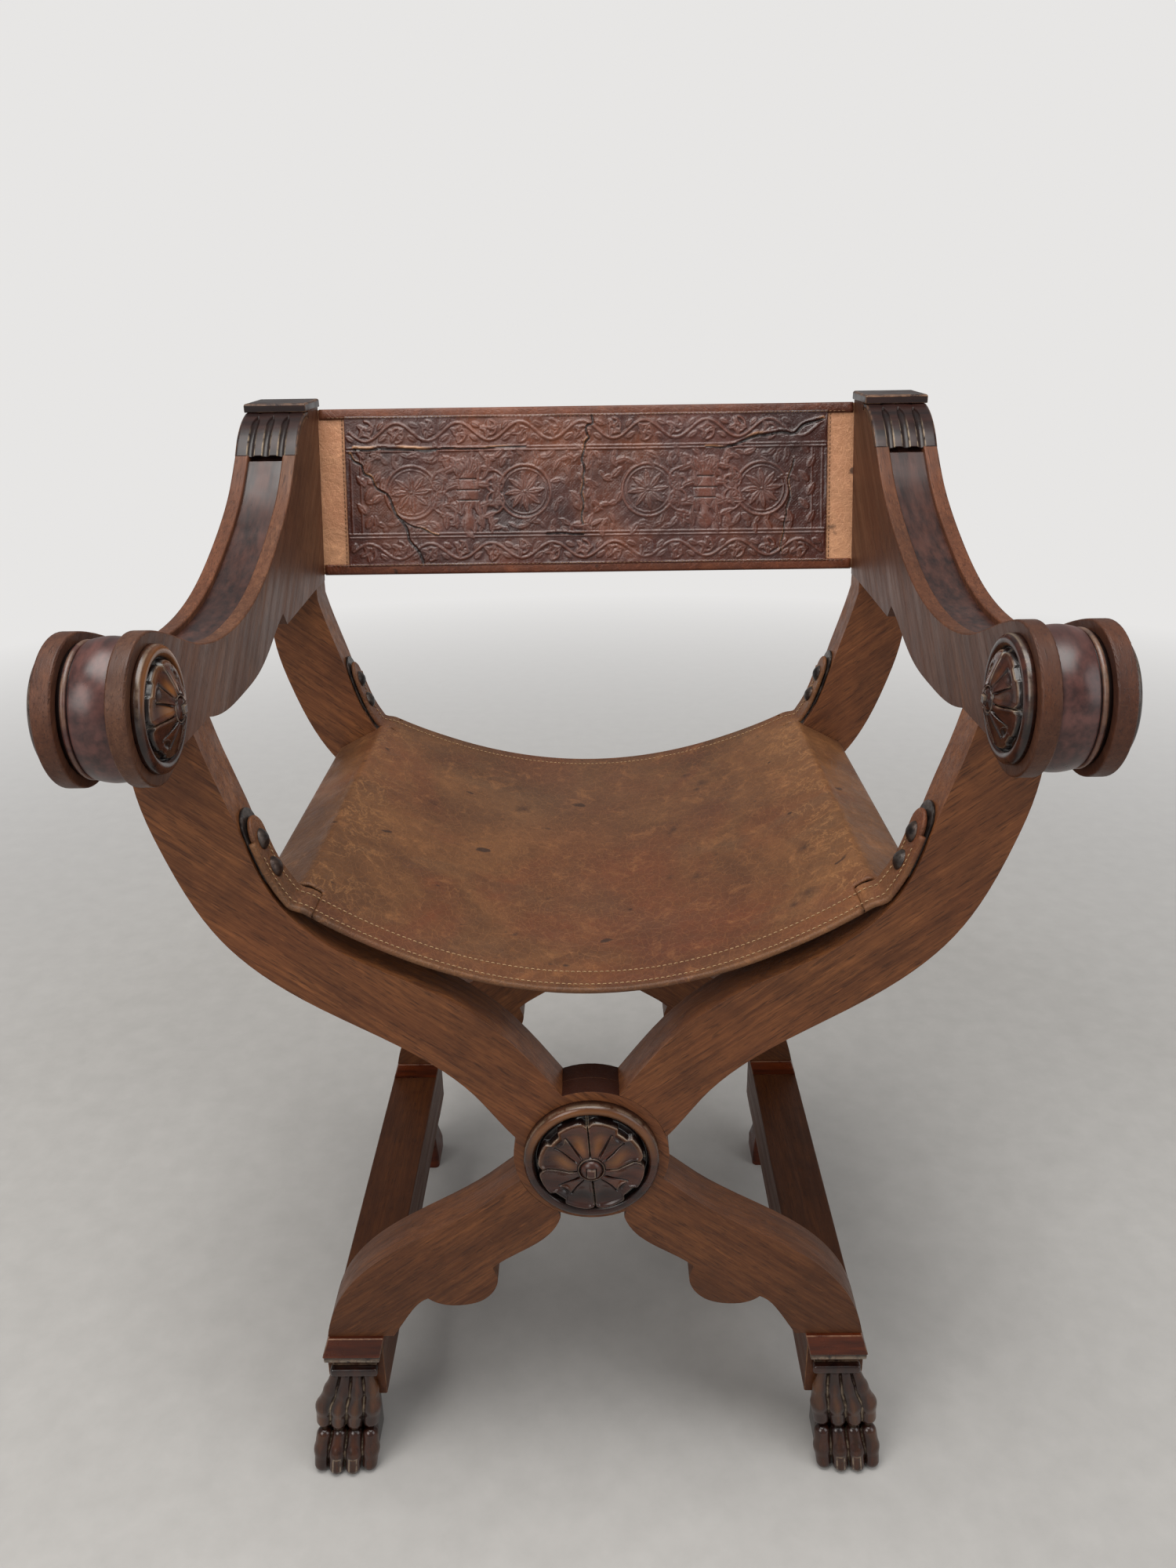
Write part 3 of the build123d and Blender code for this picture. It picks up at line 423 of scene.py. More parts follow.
def stained(name, turn=(0, 0, 0), light=(0.078, 0.0215, 0.0115), dark=(0.014, 0.0045, 0.0038), gloss=(0.17, 0.32),
            shine=0.48):
    """Dark red-brown polished wood: pale wax in the carving, with painted highlights on upper edges; amber rubbing
    with painted highlight; painted shade in the hollows.
    """
    f = Finish(name, light)
    line, long_way = (f.where((stretch, 1, 1), turn, (0.3, 0.1, 0.2)) for stretch in (1, 0.1))
    streak = f.noise(long_way, 130.0, 5.0, 0.64)
    f.lay(dark, f.range(streak, 0.36, 0.64))
    cloud = f.patch(line, (18.0, 4.0, 0.6, 0.3), 0.34, 0.68)
    f.lay(dark, cloud, 0.72)
    # Amber on rubbed carving, and on the upper parts of rosettes and paws as painted highlight.
    f.lay((0.30, 0.115, 0.028), f.mark("rub_and_highlight"))
    # Darkening in hollows, grooves and on lower halves: painted shade.
    f.lay((0.0045, 0.0018, 0.0016), f.mark("deep"))
    f.lay((0.16, 0.08, 0.045), f.patch(f.where((1, 3, 1), turn), (70.0, 5.0, 0.75, 1.5), 0.68, 0.78, 0.0, 0.3))
    chipped = f.calc("MULTIPLY", f.patch(line, (90.0, 5.0, 0.7), 0.4, 0.62), 0.85)
    f.lay((0.23, 0.12, 0.066), f.mark("wear"), chipped)
    # Pale lines in the carving: wax, partly painted highlights on upper edges.
    waxed_and_glinting = f.calc("MULTIPLY", f.mark("wax_and_glint"), f.patch(line, (170.0, 3.0, 0.6), 0.34, 0.56))
    f.lay((0.42, 0.32, 0.22), waxed_and_glinting)
    rough = f.calc("ADD", f.patch(line, (45.0, 5.0), 0.3, 0.7, *gloss), f.calc("MULTIPLY", waxed_and_glinting, 0.35))
    f.bumps((cloud, 0.06, 0.0015), (streak, 0.12, 0.0004))
    return f.finish(rough, Specular_IOR_Level=shine)


def hide(name, light, dark, tint, grey, rough=(0.4, 0.62), scratches=1.0):
    """Worn leather: fine pebble, patches, scratches and dark spots."""
    f = Finish(name, light)
    line, bright = f.where(), brighter(light, 1.75)
    f.lay(dark, f.patch(line, (7.0, 5.0, 0.66, 0.8), 0.36, 0.66))
    f.lay(tint, f.patch(f.where(shift=(3, 1, 2)), (6.0, 4.0, 0.62, 0.9), 0.5, 0.68), 0.7)
    f.lay(grey, f.patch(f.where(shift=(5, 7, 2)), (8.0, 4.0, 0.62, 0.6), 0.54, 0.72), 0.55)
    f.lay(grey, f.mark("zone_grey"))
    f.lay(tint, f.mark("zone_red"))
    cloudy = f.patch(line, (26.0, 5.0, 0.7, 0.4), 0.4, 0.7)
    f.lay(dark, cloudy, 0.42)
    mottled = f.patch(line, (110.0, 5.0, 0.72), 0.42, 0.72)
    f.lay(dark, mottled, 0.42)
    f.lay(bright, f.patch(f.where(shift=(9, 2, 5)), (46.0, 5.0, 0.74, 0.6), 0.55, 0.76, 0.0, 0.5))
    creases = f.spots(f.where((1, 0.7, 1)), 150.0, "DISTANCE_TO_EDGE")
    f.lay(bright, f.range(creases, 0.0, 0.05, 0.2, 0.0))
    for turn, scale, amount in ((0.5, 9.0, 0.55), (-0.9, 13.0, 0.45), (1.35, 11.0, 0.4)):
        across = f.where((1, 15, 1), (0, 0, turn))
        f.lay(bright, f.patch(across, (scale, 7.0, 0.76, 1.4), 0.645, 0.72, 0.0, amount * scratches))
    vein = f.calc("ABSOLUTE", f.calc("SUBTRACT", f.noise(line, 34.0, 5.0, 0.66, 0.6), 0.5))
    f.lay((0.42, 0.2, 0.075), f.range(vein, 0.0, 0.02, 0.4, 0.06), f.mark("pale"))
    f.lay((0.022, 0.011, 0.008), f.patch(f.where((1, 1.3, 1)), (38.0, 2.0, 0.5), 0.715, 0.745), 0.8)
    f.lay((0.024, 0.011, 0.008), f.mark("dark"))
    f.bumps((mottled, 0.3, 0.0012), (f.spots(line, 560.0), 0.16, 0.0005), (f.range(creases, 0.0, 0.06), 0.2, 0.0006),
            (cloudy, 0.2, 0.004))
    return f.finish(f.patch(line, (22.0, 5.0), 0.3, 0.72, *rough), Specular_IOR_Level=0.3)


def tooled(name):
    """Dark embossed leather, lighter on its crests where rubbing wore them, with painted shade in its hollows and
    torn pale edges.
    """
    f = Finish(name, (0.085, 0.0215, 0.0125))
    line = f.where()
    f.lay((0.028, 0.0075, 0.0058), f.patch(line, (11.0, 5.0, 0.64, 0.5), 0.36, 0.66))
    f.lay((0.17, 0.045, 0.012), f.patch(f.where(shift=(2, 4, 1)), (8.0, 4.0, 0.62, 0.4), 0.5, 0.68), 0.8)
    mottled = f.patch(line, (90.0, 5.0, 0.7), 0.4, 0.72)
    f.lay((0.028, 0.009, 0.007), mottled, 0.4)
    f.lay((0.17, 0.06, 0.037), f.mark("crest"), 0.6)
    # Darkening in grooves, tears and the low ground: painted shade.
    f.lay((0.0075, 0.003, 0.0025), f.mark("deep"))
    f.lay((0.40, 0.19, 0.08), f.mark("torn"))
    crackle = f.range(f.spots(line, 240.0, "DISTANCE_TO_EDGE"), 0, 0.08)
    f.bumps((crackle, 0.2, 0.0006), (f.noise(line, 420.0, 4.0, 0.6), 0.3, 0.0008), (mottled, 0.3, 0.0014))
    return f.finish(f.patch(line, (60.0, 5.0), 0.3, 0.7, 0.16, 0.4), Specular_IOR_Level=0.6)


def iron(name):
    f = Finish(name, (0.022, 0.017, 0.016))
    line = f.where()
    worn = f.patch(line, (120.0, 5.0, 0.65), 0.42, 0.7)
    f.lay((0.09, 0.075, 0.066), worn)
    f.lay((0.075, 0.032, 0.018), f.patch(line, (60.0, 3.0, 0.6), 0.5, 0.7), 0.5)
    f.lay((0.17, 0.15, 0.13), f.mark("wear"))
    f.bumps((worn, 0.25, 0.0006))
    return f.finish(f.patch(line, (200.0, 4.0), 0.3, 0.7, 0.28, 0.5), Metallic=0.75)


def thread(name, colour):
    f = Finish(name, colour)
    twist = f.noise(f.where(), 900.0, 3.0, 0.6)
    f.lay(tuple(c * 0.5 for c in colour), f.range(twist, 0.3, 0.7))
    f.bumps((twist, 0.3, 0.0003))
    return f.finish(f.range(twist, 0.3, 0.7, 0.55, 0.8))


LEG_TURN = radians(38)  # a leg crosses the frame, so its grain leans; turning by the lean brings it to X
ARM_GRAIN = (radians(-40), 0, radians(-90))
RAIL_GRAIN = (0, 0, radians(-90))
SCROLL_AT = (0, -(SCROLL[0] + FRONT_Y) / 1000, -SCROLL[1] / 1000)
MAT = {
    "leg_b": walnut("walnut_leg_b", (0, LEG_TURN, 0)),
    "leg_a": walnut("walnut_leg_a", (0, -LEG_TURN, 0), shift=(0.4, 0.19, 0.11)),
    # The right inner board is a darker copy of the left one's walnut: painted shade on the right arm's inner face.
    "inner_board_left": walnut("walnut_inner_left", ARM_GRAIN, (0.15, 0.07, 0.037), (0.036, 0.0148, 0.0095),
                               scroll=0.5),
    "inner_board_right": walnut("walnut_inner_right", ARM_GRAIN, (0.11, 0.047, 0.024), (0.024, 0.0092, 0.006),
                                (0.3, 0.1, 0.4), 0.6),
    "outer_board_left": walnut("walnut_outer_left", ARM_GRAIN, (0.15, 0.06, 0.03), (0.034, 0.0125, 0.008),
                               scroll=0.9),
    "outer_board_right": walnut("walnut_outer_right", ARM_GRAIN, (0.14, 0.054, 0.027), (0.03, 0.011, 0.007),
                                (0.1, 0.5, 0.2), 0.9),
    "runner": walnut("walnut_runner", RAIL_GRAIN, (0.22, 0.07, 0.018), (0.06, 0.018, 0.006)),
    "rail": walnut("walnut_rail", RAIL_GRAIN, shift=(0.2, 0.4, 0.1)),
    "core": stained("stained_core", ARM_GRAIN, (0.07, 0.026, 0.018), (0.013, 0.005, 0.0047), (0.26, 0.42)),
    # The drums' stain is lighter than the other dark parts: partly their own tone, partly a painted sheen standing in
    # for their broad reflections.
    "drum": stained("stained_drum", (0, 0, radians(90)), (0.115, 0.042, 0.034), (0.03, 0.0115, 0.0105), (0.26, 0.4)),
    "dark": stained("stained_dark"),
    "paw": stained("stained_paw", (0, radians(90), 0), (0.05, 0.0132, 0.006), (0.0105, 0.0032, 0.0025),
                   (0.13, 0.26), 0.55),
    "cap": stained("stained_cap", (0, 0, 0), (0.03, 0.0105, 0.0078), (0.0075, 0.003, 0.003), (0.26, 0.42), 0.36),
    "block": stained("stained_block", (0, 0, 0), (0.12, 0.022, 0.0045), (0.03, 0.0055, 0.002), (0.24, 0.4), 0.32),
    "pin": walnut("walnut_pin", (0, 0, radians(90))),
    "seat": hide("seat_leather", (0.172, 0.073, 0.027), (0.064, 0.0255, 0.011), (0.118, 0.031, 0.013),
                 (0.088, 0.054, 0.031)),
    "back": hide("back_leather", (0.56, 0.30, 0.165), (0.38, 0.19, 0.1), (0.5, 0.22, 0.12), (0.38, 0.22, 0.14),
                 scratches=0.4),
    "binding": hide("binding_leather", (0.15, 0.047, 0.022), (0.065, 0.019, 0.0105), (0.2, 0.068, 0.03),
                    (0.1, 0.038, 0.02), (0.26, 0.44), 0.5),
    "tooled": tooled("tooled_leather"),
    "iron": iron("dark_iron"),
    "seat_thread": thread("seat_thread", (0.42, 0.26, 0.13)),
    "back_thread": thread("back_thread", (0.20, 0.1, 0.045)),
}

# ---------------------------------------------------------------- wooden frame
WORN = (  # starts of the nodes' names, slot, material, width of the eased edges and the angle from which they are
    (("front_leg", "rear_leg"), "walnut", "leg", 1.4, 32.0),
    (("arm_inner_board", "arm_outer_board"), "walnut", "board", 1.0, 32.0),
    (("runner",), "walnut", "runner", 0.8, 32.0),
    (("seat_rail",), "walnut", "rail", 1.5, 32.0),
    (("arm_core",), "dark_wood", "core", 0.7, 32.0),
    (("front_block", "rear_block", "rear_foot"), "dark_wood", "block", 1.0, 32.0),
    (("arm_plate",), "dark_wood", "cap", 0.9, 20.0),
)
KEPT = (("strap_nails", "iron"), ("back_nails", "iron"), ("pivot_pin", "pin"))
for node, obj in NODES.items():
    for starts, slot, look, width, split in WORN:
        if node.startswith(starts):
            look = {"leg": node[-5:], "board": node[4:]}.get(look, look)
            worn_copy(node, slot, MAT[look], width, split)
    for start, look in KEPT:
        if node.startswith(start):
            for each in obj.material_slots:
                each.material = MAT[look]


# ---------------------------------------------------------------- rosettes
GROOVE_Z = 2.5
ROSETTE_TURN = radians(4)
PETAL_TURN = pi / 4


def flower(r, a, rim, boss_r, field, dished, wavy):
    """Carved flower of eight lobes and four tongue leaves: its height, and where wax with painted highlights, painted
    shadow, and rubbing with painted highlights lie.
    """
    by_ring, halfway, at_boss = field
    mid = (rim + boss_r) / 2
    t = (r - mid) / (rim - mid)
    dish = halfway + t * (by_ring - at_boss) / 2 + t * t * ((by_ring + at_boss) / 2 - halfway)
    # The left and right grooves bend down near the boss, and the right one up again by the edge
    sideways = np.abs(np.cos(a)) ** 6
    left = np.interp(r, [boss_r, rim * 0.42, rim * 0.7, rim], [-0.01, -0.075, -0.02, 0.01])
    right = np.interp(r, [boss_r, rim * 0.48, rim * 0.78, rim], [-0.02, -0.09, 0.035, 0.045])
    a = np.arctan2(r * np.sin(a) - rim * np.where(np.cos(a) < 0, left, right) * sideways * wavy, r * np.cos(a))
    diagonal = (a - PETAL_TURN) % (pi / 2)
    diagonal = np.minimum(diagonal, pi / 2 - diagonal)
    split = PETAL_TURN - diagonal
    notch = step(0.2 - diagonal, 0.0, 0.075)
    lobed = 0.995 - 0.07 * bell(split, 0.075) - (0.02 + 0.065 * dished) * notch - 0.03 * np.abs(split - 0.34)
    edge = (rim - 0.2) * lobed
    inside = step(edge - r, -0.3, 0.4)
    share_r = np.clip(r / edge, 0, 1.1)
    hollow = 2.4 * dished * bell(share_r - 0.66, 0.2) * bell(split - 0.36, 0.24)
    lip = (0.2 + 1.6 * dished) * bell(edge - r - 1.4, 1.9)
    cut = r * np.sin(split)
    outer = step(r, boss_r, boss_r + 2)
    high = dish + 0.4 - hollow + lip + 0.7 * bell(cut - 1.8, 1.2) - 2.6 * bell(cut, 0.45) * outer
    u, w = r * np.cos(diagonal), r * np.sin(diagonal)
    start, end = boss_r + 2.2, rim * 0.74
    share = np.clip((u - start) / (end - start), 0, 1)
    half = 1.6 + 3.9 * share**1.3
    across = np.clip(w / half, 0, 1)
    ends = end - 2.4 * (1 - across**2)  # the leaf's outer end is hollow, with a horn on each side
    tongue = step(half - w, -0.3, 0.35) * step(u, start - 1, start) * step(ends - u, -0.35, 0.35)
    falling = 1.5 - 2.6 * share - 1.1 * (1 - across**2)
    gap = bell(w - half - 0.7, 0.8) * step(share, 0.0, 0.2) * step(end + 1.5 - u, 0, 2)
    pit = bell(u - end - 0.4, 1.6) * bell(w, half * 0.8) * (1 - tongue)
    high = high + tongue * falling - 1.8 * gap * (1 - tongue) - 1.8 * pit
    ground = dish - 1.2 - 3.8 * dished
    z = ground + (high - ground) * inside
    wax_and_glint = 0.7 * bell(edge - r - 0.85, 0.3) * (0.75 + 0.6 * notch)
    wax_and_glint = wax_and_glint + 0.6 * bell(cut - 0.75, 0.26) * step(r, boss_r + 3, boss_r + 8)
    horn = bell(half - w - 0.1, 0.3) * step(share, 0.7, 0.95) * step(ends + 0.6 - u, 0, 0.6)
    wax_and_glint = wax_and_glint + 0.6 * horn + 0.6 * bell(ends - u - 0.1, 0.32) * step(half - w, 0, 0.5)
    # Pale lines are stronger on the upper half: painted highlights.
    wax_and_glint = wax_and_glint * (0.35 + 0.65 * step(np.sin(a), -0.55, 0.25))
    wall = 1 - step(edge - r, 0.3, 0.65)
    # Darkening in the walls, pits and gaps, by the boss and on the lower half: painted shade.
    deep = 0.95 * wall + 0.6 * pit + 0.85 * bell(cut, 0.45) * outer + 0.8 * gap * (1 - tongue)
    deep = deep + 0.5 * bell(r - boss_r, 3.5) + 0.4 * step(-np.sin(a), 0.0, 0.75) * (1 - tongue)
    # Amber rubbing on the petals, on the upper half only: partly painted highlight.
    rub_and_highlight = 0.75 * bell(share_r - 0.5, 0.2) * bell(split - 0.32, 0.2) + 0.3 * bell(edge - r - 2.2, 1.8)
    rub_and_highlight = rub_and_highlight * step(np.sin(a), -0.5, 0.5) + 0.1 * tongue * share
    return z, wax_and_glint, deep, inside * rub_and_highlight * (1 - np.clip(deep, 0, 1))


def rosette_piece(node, radius, ring_sizes, field, boss_r, boss_h, centre, normal, amber, dished=1.0, wavy=1.0,
                  groove_w=1.5):
    """Rosette of a ring, a carved flower and a boss with a square peg."""
    ring_w, wall, crown = ring_sizes
    rim = radius - ring_w - groove_w
    r = np.concatenate([np.linspace(0.4, rim, int(rim * 2.9)), np.linspace(rim + 0.35, radius, 34)])
    a = np.linspace(0, 2 * pi, int(radius * 11), endpoint=False)
    rr, aa = np.meshgrid(r, a, indexing="ij")
    flat = np.stack([rr * np.cos(aa), rr * np.sin(aa)], axis=-1)
    z, wax_and_glint, deep, rubbed_and_highlit = flower(rr, aa - ROSETTE_TURN, rim, boss_r, field, dished, wavy)

    middle = (rr - (radius - ring_w / 2)) / (ring_w / 2)
    ring = wall - 1.2 + (crown + 1.2) * np.sqrt(np.clip(1 - middle**2, 0, 1))
    in_ring = rr >= radius - ring_w
    in_groove = (rr > rim) & ~in_ring
    # The upper half takes painted highlights, and the lower half painted shade.
    upper = step(np.sin(aa), -0.35, 0.8)
    z = np.where(in_ring, ring, np.where(in_groove, GROOVE_Z, z))
    # The pale line on the ring's outer edge is on its upper side only: painted highlight.
    wax_and_glint = np.where(in_ring, 0.35 * bell(radius - 0.5 - rr, 0.3) * upper, np.where(in_groove, 0.0, wax_and_glint))
    shade = 0.5 * bell(rr - radius, 1.2) + 0.75 * bell(rr - radius + ring_w, 1.6) + 0.35 * (1 - upper)
    deep = np.where(in_ring, shade, np.where(in_groove, 1.0, deep))

    low = field[2]
    side = np.abs(flat).max(axis=-1)
    peg_w = boss_r * 0.38
    knob = low - 1 + (boss_h - low + 0.2) * np.sqrt(np.clip(1 - (rr / (boss_r * 1.02)) ** 2, 0, 1))
    rebate = (side >= peg_w) & (side < peg_w + 0.8)
    knob = np.where(side < peg_w, boss_h, np.where(rebate, boss_h - 3.4, knob))
    on_boss = rr < boss_r
    collar = (rr >= boss_r) & (rr < boss_r + 2.6)
    from_collar = rr - boss_r - 1.5
    z = np.where(on_boss, knob, np.where(collar, low - 1.6 + 2.4 * bell(from_collar, 0.7), z))
    deep = np.where(on_boss, 0.15 + 0.8 * rebate, np.where(collar, 0.9 - 0.8 * bell(from_collar, 0.6), deep))
    peg_edge = 0.5 * bell(side - peg_w + 0.3, 0.3) * (side < peg_w)
    wax_and_glint = np.where(on_boss, peg_edge, np.where(collar, 0.35 * bell(rr - boss_r - 1.6, 0.3), wax_and_glint))

    patchy = 0.62 + 0.38 * soft_noise(flat / 1000, 90, 4)
    # Amber on the ring's upper side and on the flower: rubbing and painted highlight, scaled by amber.
    on_ring = amber * upper * patchy * bell(rr - (radius - ring_w * 0.45), ring_w * 0.4)
    on_flower = rubbed_and_highlit * (0.2 + amber * 0.9) * np.where(on_boss | collar, 0.3, 1) * (0.4 + patchy)
    rub_and_highlight = np.where(in_ring, on_ring, on_flower)
    wax_and_glint = wax_and_glint * np.clip(patchy + 0.2, 0.25, 1)

    na = len(a)
    foot = np.stack([radius * np.cos(a), radius * np.sin(a), np.zeros(na)], axis=-1)
    local = np.concatenate([flat, z[..., None]], axis=-1).reshape(-1, 3)
    up = (0, 0, 1)
    basis = np.array([np.cross(up, normal), up, normal])
    pts = np.concatenate([local, foot, [[0, 0, boss_h], [0, 0, 0]]]) @ basis + np.array(centre)
    here, last = np.arange(na), len(r) * na
    after = np.roll(here, -1)
    heart, base = np.full(na, len(pts) - 2), np.full(na, len(pts) - 1)
    fans = np.stack([after, here, heart, last + here, last + after, base], axis=1).reshape(-1, 3)
    faces = grid_faces(len(r) + 1, na, closed=True).tolist() + fans.tolist()
    marks = {
        key: np.concatenate([np.clip(v, 0, 1).ravel(), np.full(na, end), [0, 0]])
        for key, v, end in (("wax_and_glint", wax_and_glint, 0), ("deep", deep, 0.6), ("rub_and_highlight", rub_and_highlight, 0))
    }
    dress(make_object("carved_" + node, pts, faces, marks), node, "dark_wood", MAT["dark"])


# amber is how much rubbing and painted highlight each rosette gets.
for node, place, way, amber in (
    ("hub_rosette_front", (0, 0, HUB_Z), (0, -1, 0), 0.55),
    ("hub_rosette_rear", (0, REAR_Y + LEG_T, HUB_Z), (0, 1, 0), 0.3),
):
    rosette_piece(node, 54.0, (9.5, 5.2, 4.5), (11.0, 12.0, 16.0), 8.6, 22.0, place, way, amber)
for side, word in SIDES:
    for face, x, way in (("inner", ARM_X, -side), ("outer", ARM_OUT, side)):
        # Only the left inner arm rosette takes amber; the others stay dark.
        amber = 0.8 if side < 0 and face == "inner" else 0.0
        rosette_piece(f"scroll_rosette_{face}_{word}", 41.0, (9.0, 3.6, 2.9), (5.8, 12.0, 15.2), 7.0, 19.0,
                      (side * x, *SCROLL), (way, 0, 0), amber, 0.25, 0.3, 0.5)


# ---------------------------------------------------------------- turned drums
DRUM_R = 44.0
DRUM_NECK = 42.0
BEAD_R = 2.0


def drum_piece(side, word):
    """Barrel with a crisp bead by the outer board."""
    bead_high = CORE_W - 2.5
    bead_low = bead_high - 2 * BEAD_R
    barrel = bead_low - 1.0
    profile = [(0.4, 0.0), (DRUM_R - 0.6, 0.0), (DRUM_R, 0.5)]
    profile += [(DRUM_R + 2.0 * sin(pi * t), barrel * t) for t in np.linspace(0.03, 0.97, 22)]
    profile += [(DRUM_R, barrel - 0.4), (43.2, barrel), (DRUM_NECK, barrel + 0.15), (DRUM_NECK, bead_low - 0.1)]
    bead_middle = (bead_low + bead_high) / 2
    profile += [(DRUM_NECK + BEAD_R * sin(t), bead_middle - BEAD_R * cos(t)) for t in np.linspace(0, pi, 11)]
    profile = np.array(profile + [(DRUM_NECK, bead_high + 0.1), (DRUM_NECK, CORE_W), (0.4, CORE_W)])
    a = np.linspace(0, 2 * pi, 160, endpoint=False)
    radius, off = profile[:, 0], profile[:, 1]
    x = side * (ARM_X + BOARD_T + off[:, None] + 0 * a)
    y = SCROLL[0] + radius[:, None] * np.cos(a)
    z = SCROLL[1] + radius[:, None] * np.sin(a)
    bead = (off > bead_low - 0.05) & (off < bead_high + 0.05) & (radius > DRUM_NECK + 0.9)
    groove = (radius < DRUM_NECK + 0.5) & (radius > 40)
    # The dark groove is painted shade; the pale line on the bead's upper side is a painted highlight.
    marks = {
        "deep": np.repeat(groove.astype(float), len(a)),
        "wax_and_glint": (bead[:, None] * 0.12 * step(np.sin(a), -0.2, 0.9)).ravel(),
        "wear": np.repeat(bead * 0.5, len(a)),
    }
    faces = grid_faces(len(profile), len(a), True)
    obj = make_object("turned_drum_" + word, np.stack([x, y, z], axis=-1), faces, marks)
    dress(obj, f"scroll_drum_{word}", "dark_wood", MAT["drum"])


for side, word in SIDES:
    drum_piece(side, word)


# ---------------------------------------------------------------- reeded caps
FLUTE_HALF = 3.4
CAP_LEDGE = (REAR_Y + 33, REAR_Y + 39)  # depths of the level strip behind the curve


def arc_through(low, high, bulge, count):
    """Points of a circular arc that stands bulge proud of the chord from low to high."""
    low, high = np.array(low, float), np.array(high, float)
    chord = high - low
    run = np.linalg.norm(chord)
    along_chord = chord / run
    normal = np.array([-along_chord[1], along_chord[0]])
    radius = (run**2 / 4 + bulge**2) / (2 * bulge)
    centre = (low + high) / 2 + normal * (bulge - radius)
    half = np.arcsin(run / 2 / radius)
    angle = np.linspace(-half, half, count)
    return centre + radius * (np.cos(angle)[:, None] * normal + np.sin(angle)[:, None] * along_chord)


def cap_piece(side, word):
    """Quarter-round with three gouged flutes between rounded reeds."""
    lines = []
    for foot, bulge, sunk in ((27, 6.0, 0), (19, 4.2, 7)):
        arc = arc_through((REAR_Y - foot, ARM_Z + 142), (REAR_Y + 27, ARM_TOP - sunk), bulge, 64)
        lines.append(np.concatenate([arc, [[depth, ARM_TOP - sunk] for depth in CAP_LEDGE]]))
    outer, inner = lines
    t = np.concatenate([np.linspace(0, 1, 64), [1.1, 1.2]])
    width = ARM_OUT - ARM_X
    tt, xx = np.meshgrid(t, np.linspace(0, width, 150), indexing="ij")
    tangent = unit(np.gradient(outer, axis=0))
    normal = np.stack([-tangent[:, 1], tangent[:, 0]], axis=-1)
    cut, wax_and_glint, deep = (np.zeros_like(tt) for _ in range(3))
    for i in (1, 2, 3):
        off = xx - width * i / 4
        half = FLUTE_HALF * np.sqrt(np.clip(1 - step(tt, 0.5, 0.86) ** 2, 0, 1))
        inside = step(half - np.abs(off), -0.35, 0.35) * (tt < 0.86)
        bowl = np.clip(1 - (off / FLUTE_HALF) ** 2, 0, 1)
        cut = np.maximum(cut, inside * (0.7 + 1.7 * bowl))
        wax_and_glint = wax_and_glint + bell(np.abs(off) - half, 0.42) * step(0.62 - tt, 0.0, 0.5) * (tt < 0.84) * 0.9
        # Darkening in the flutes and the punched dots: painted shade.
        deep = np.maximum(deep, 0.6 * inside)
        dot = np.hypot(off, (tt - 0.99) * 50)  # punched dot above each flute
        cut = np.maximum(cut, 1.6 * (dot < 1.5))
        deep = np.maximum(deep, (dot < 1.9) * 1.0)
    reed = 0.9 * np.abs(np.cos(2 * pi * xx / width)) ** 0.7 * (tt < 1.05)
    edge = 1.2 * (bell(xx, 1.0) + bell(xx - width, 1.0))
    lift = -(cut + 0.5 * (0.9 - reed) + edge * 0.6)
    top = outer[:, None, :] + normal[:, None, :] * lift[..., None]
    low = np.broadcast_to(inner[:, None, :], top.shape)
    x = side * (ARM_X + xx)[..., None]
    pts = np.concatenate([np.concatenate([x, section], axis=-1) for section in (top, low)])
    wear = 0.7 * (bell(xx, 0.8) + bell(xx - width, 0.8))
    marks = clipped({"wax_and_glint": wax_and_glint, "deep": deep, "wear": wear}, tt.size)
    obj = make_object("reeded_cap_" + word, pts, slab_faces(*tt.shape), marks)
    dress(obj, f"arm_cap_{word}", "dark_wood", MAT["cap"])


for side, word in SIDES:
    cap_piece(side, word)


# ---------------------------------------------------------------- carved paws
def surface_net(field, origin, pitch):
    """Smooth closed mesh of the zero level of a sampled field."""
    inside = field < 0
    shape = tuple(n - 1 for n in field.shape)
    total, count = np.zeros(shape + (3,)), np.zeros(shape)
    for p in np.ndindex(2, 2, 2):
        for axis in range(3):
            if p[axis] == 0:
                q = tuple(1 if n == axis else p[n] for n in range(3))
                fp, fq = (field[tuple(slice(c[n], c[n] + shape[n]) for n in range(3))] for c in (p, q))
                crossed = (fp < 0) != (fq < 0)
                share = np.where(crossed, fp / np.where(crossed, fp - fq, 1), 0)
                where = np.array(p, float) + share[..., None] * (np.array(q) - np.array(p))
                total += np.where(crossed[..., None], where, 0)
                count += crossed
    active = count > 0
    number = np.full(shape, -1)
    number[active] = np.arange(active.sum())
    verts = (np.argwhere(active) + total[active] / count[active][:, None]) * pitch + origin
    faces = []
    for axis in range(3):
        b, c = (axis + 1) % 3, (axis + 2) % 3
        low, high = [slice(None)] * 3, [slice(None)] * 3
        low[axis], high[axis] = slice(0, -1), slice(1, None)
        flip = inside[tuple(low)]
        at = np.argwhere(flip != inside[tuple(high)])
        at = at[(at[:, [b, c]] > 0).all(axis=1) & (at[:, b] < field.shape[b] - 1) & (at[:, c] < field.shape[c] - 1)]
        step_b, step_c = np.eye(3, dtype=int)[[b, c]]
        ids = np.stack([number[tuple((at - back).T)] for back in (0, step_b, step_b + step_c, step_c)], axis=1)
        turn = flip[tuple(at.T)]
        ids[turn] = ids[turn][:, ::-1]
        faces.append(ids)
    return verts, np.concatenate(faces)


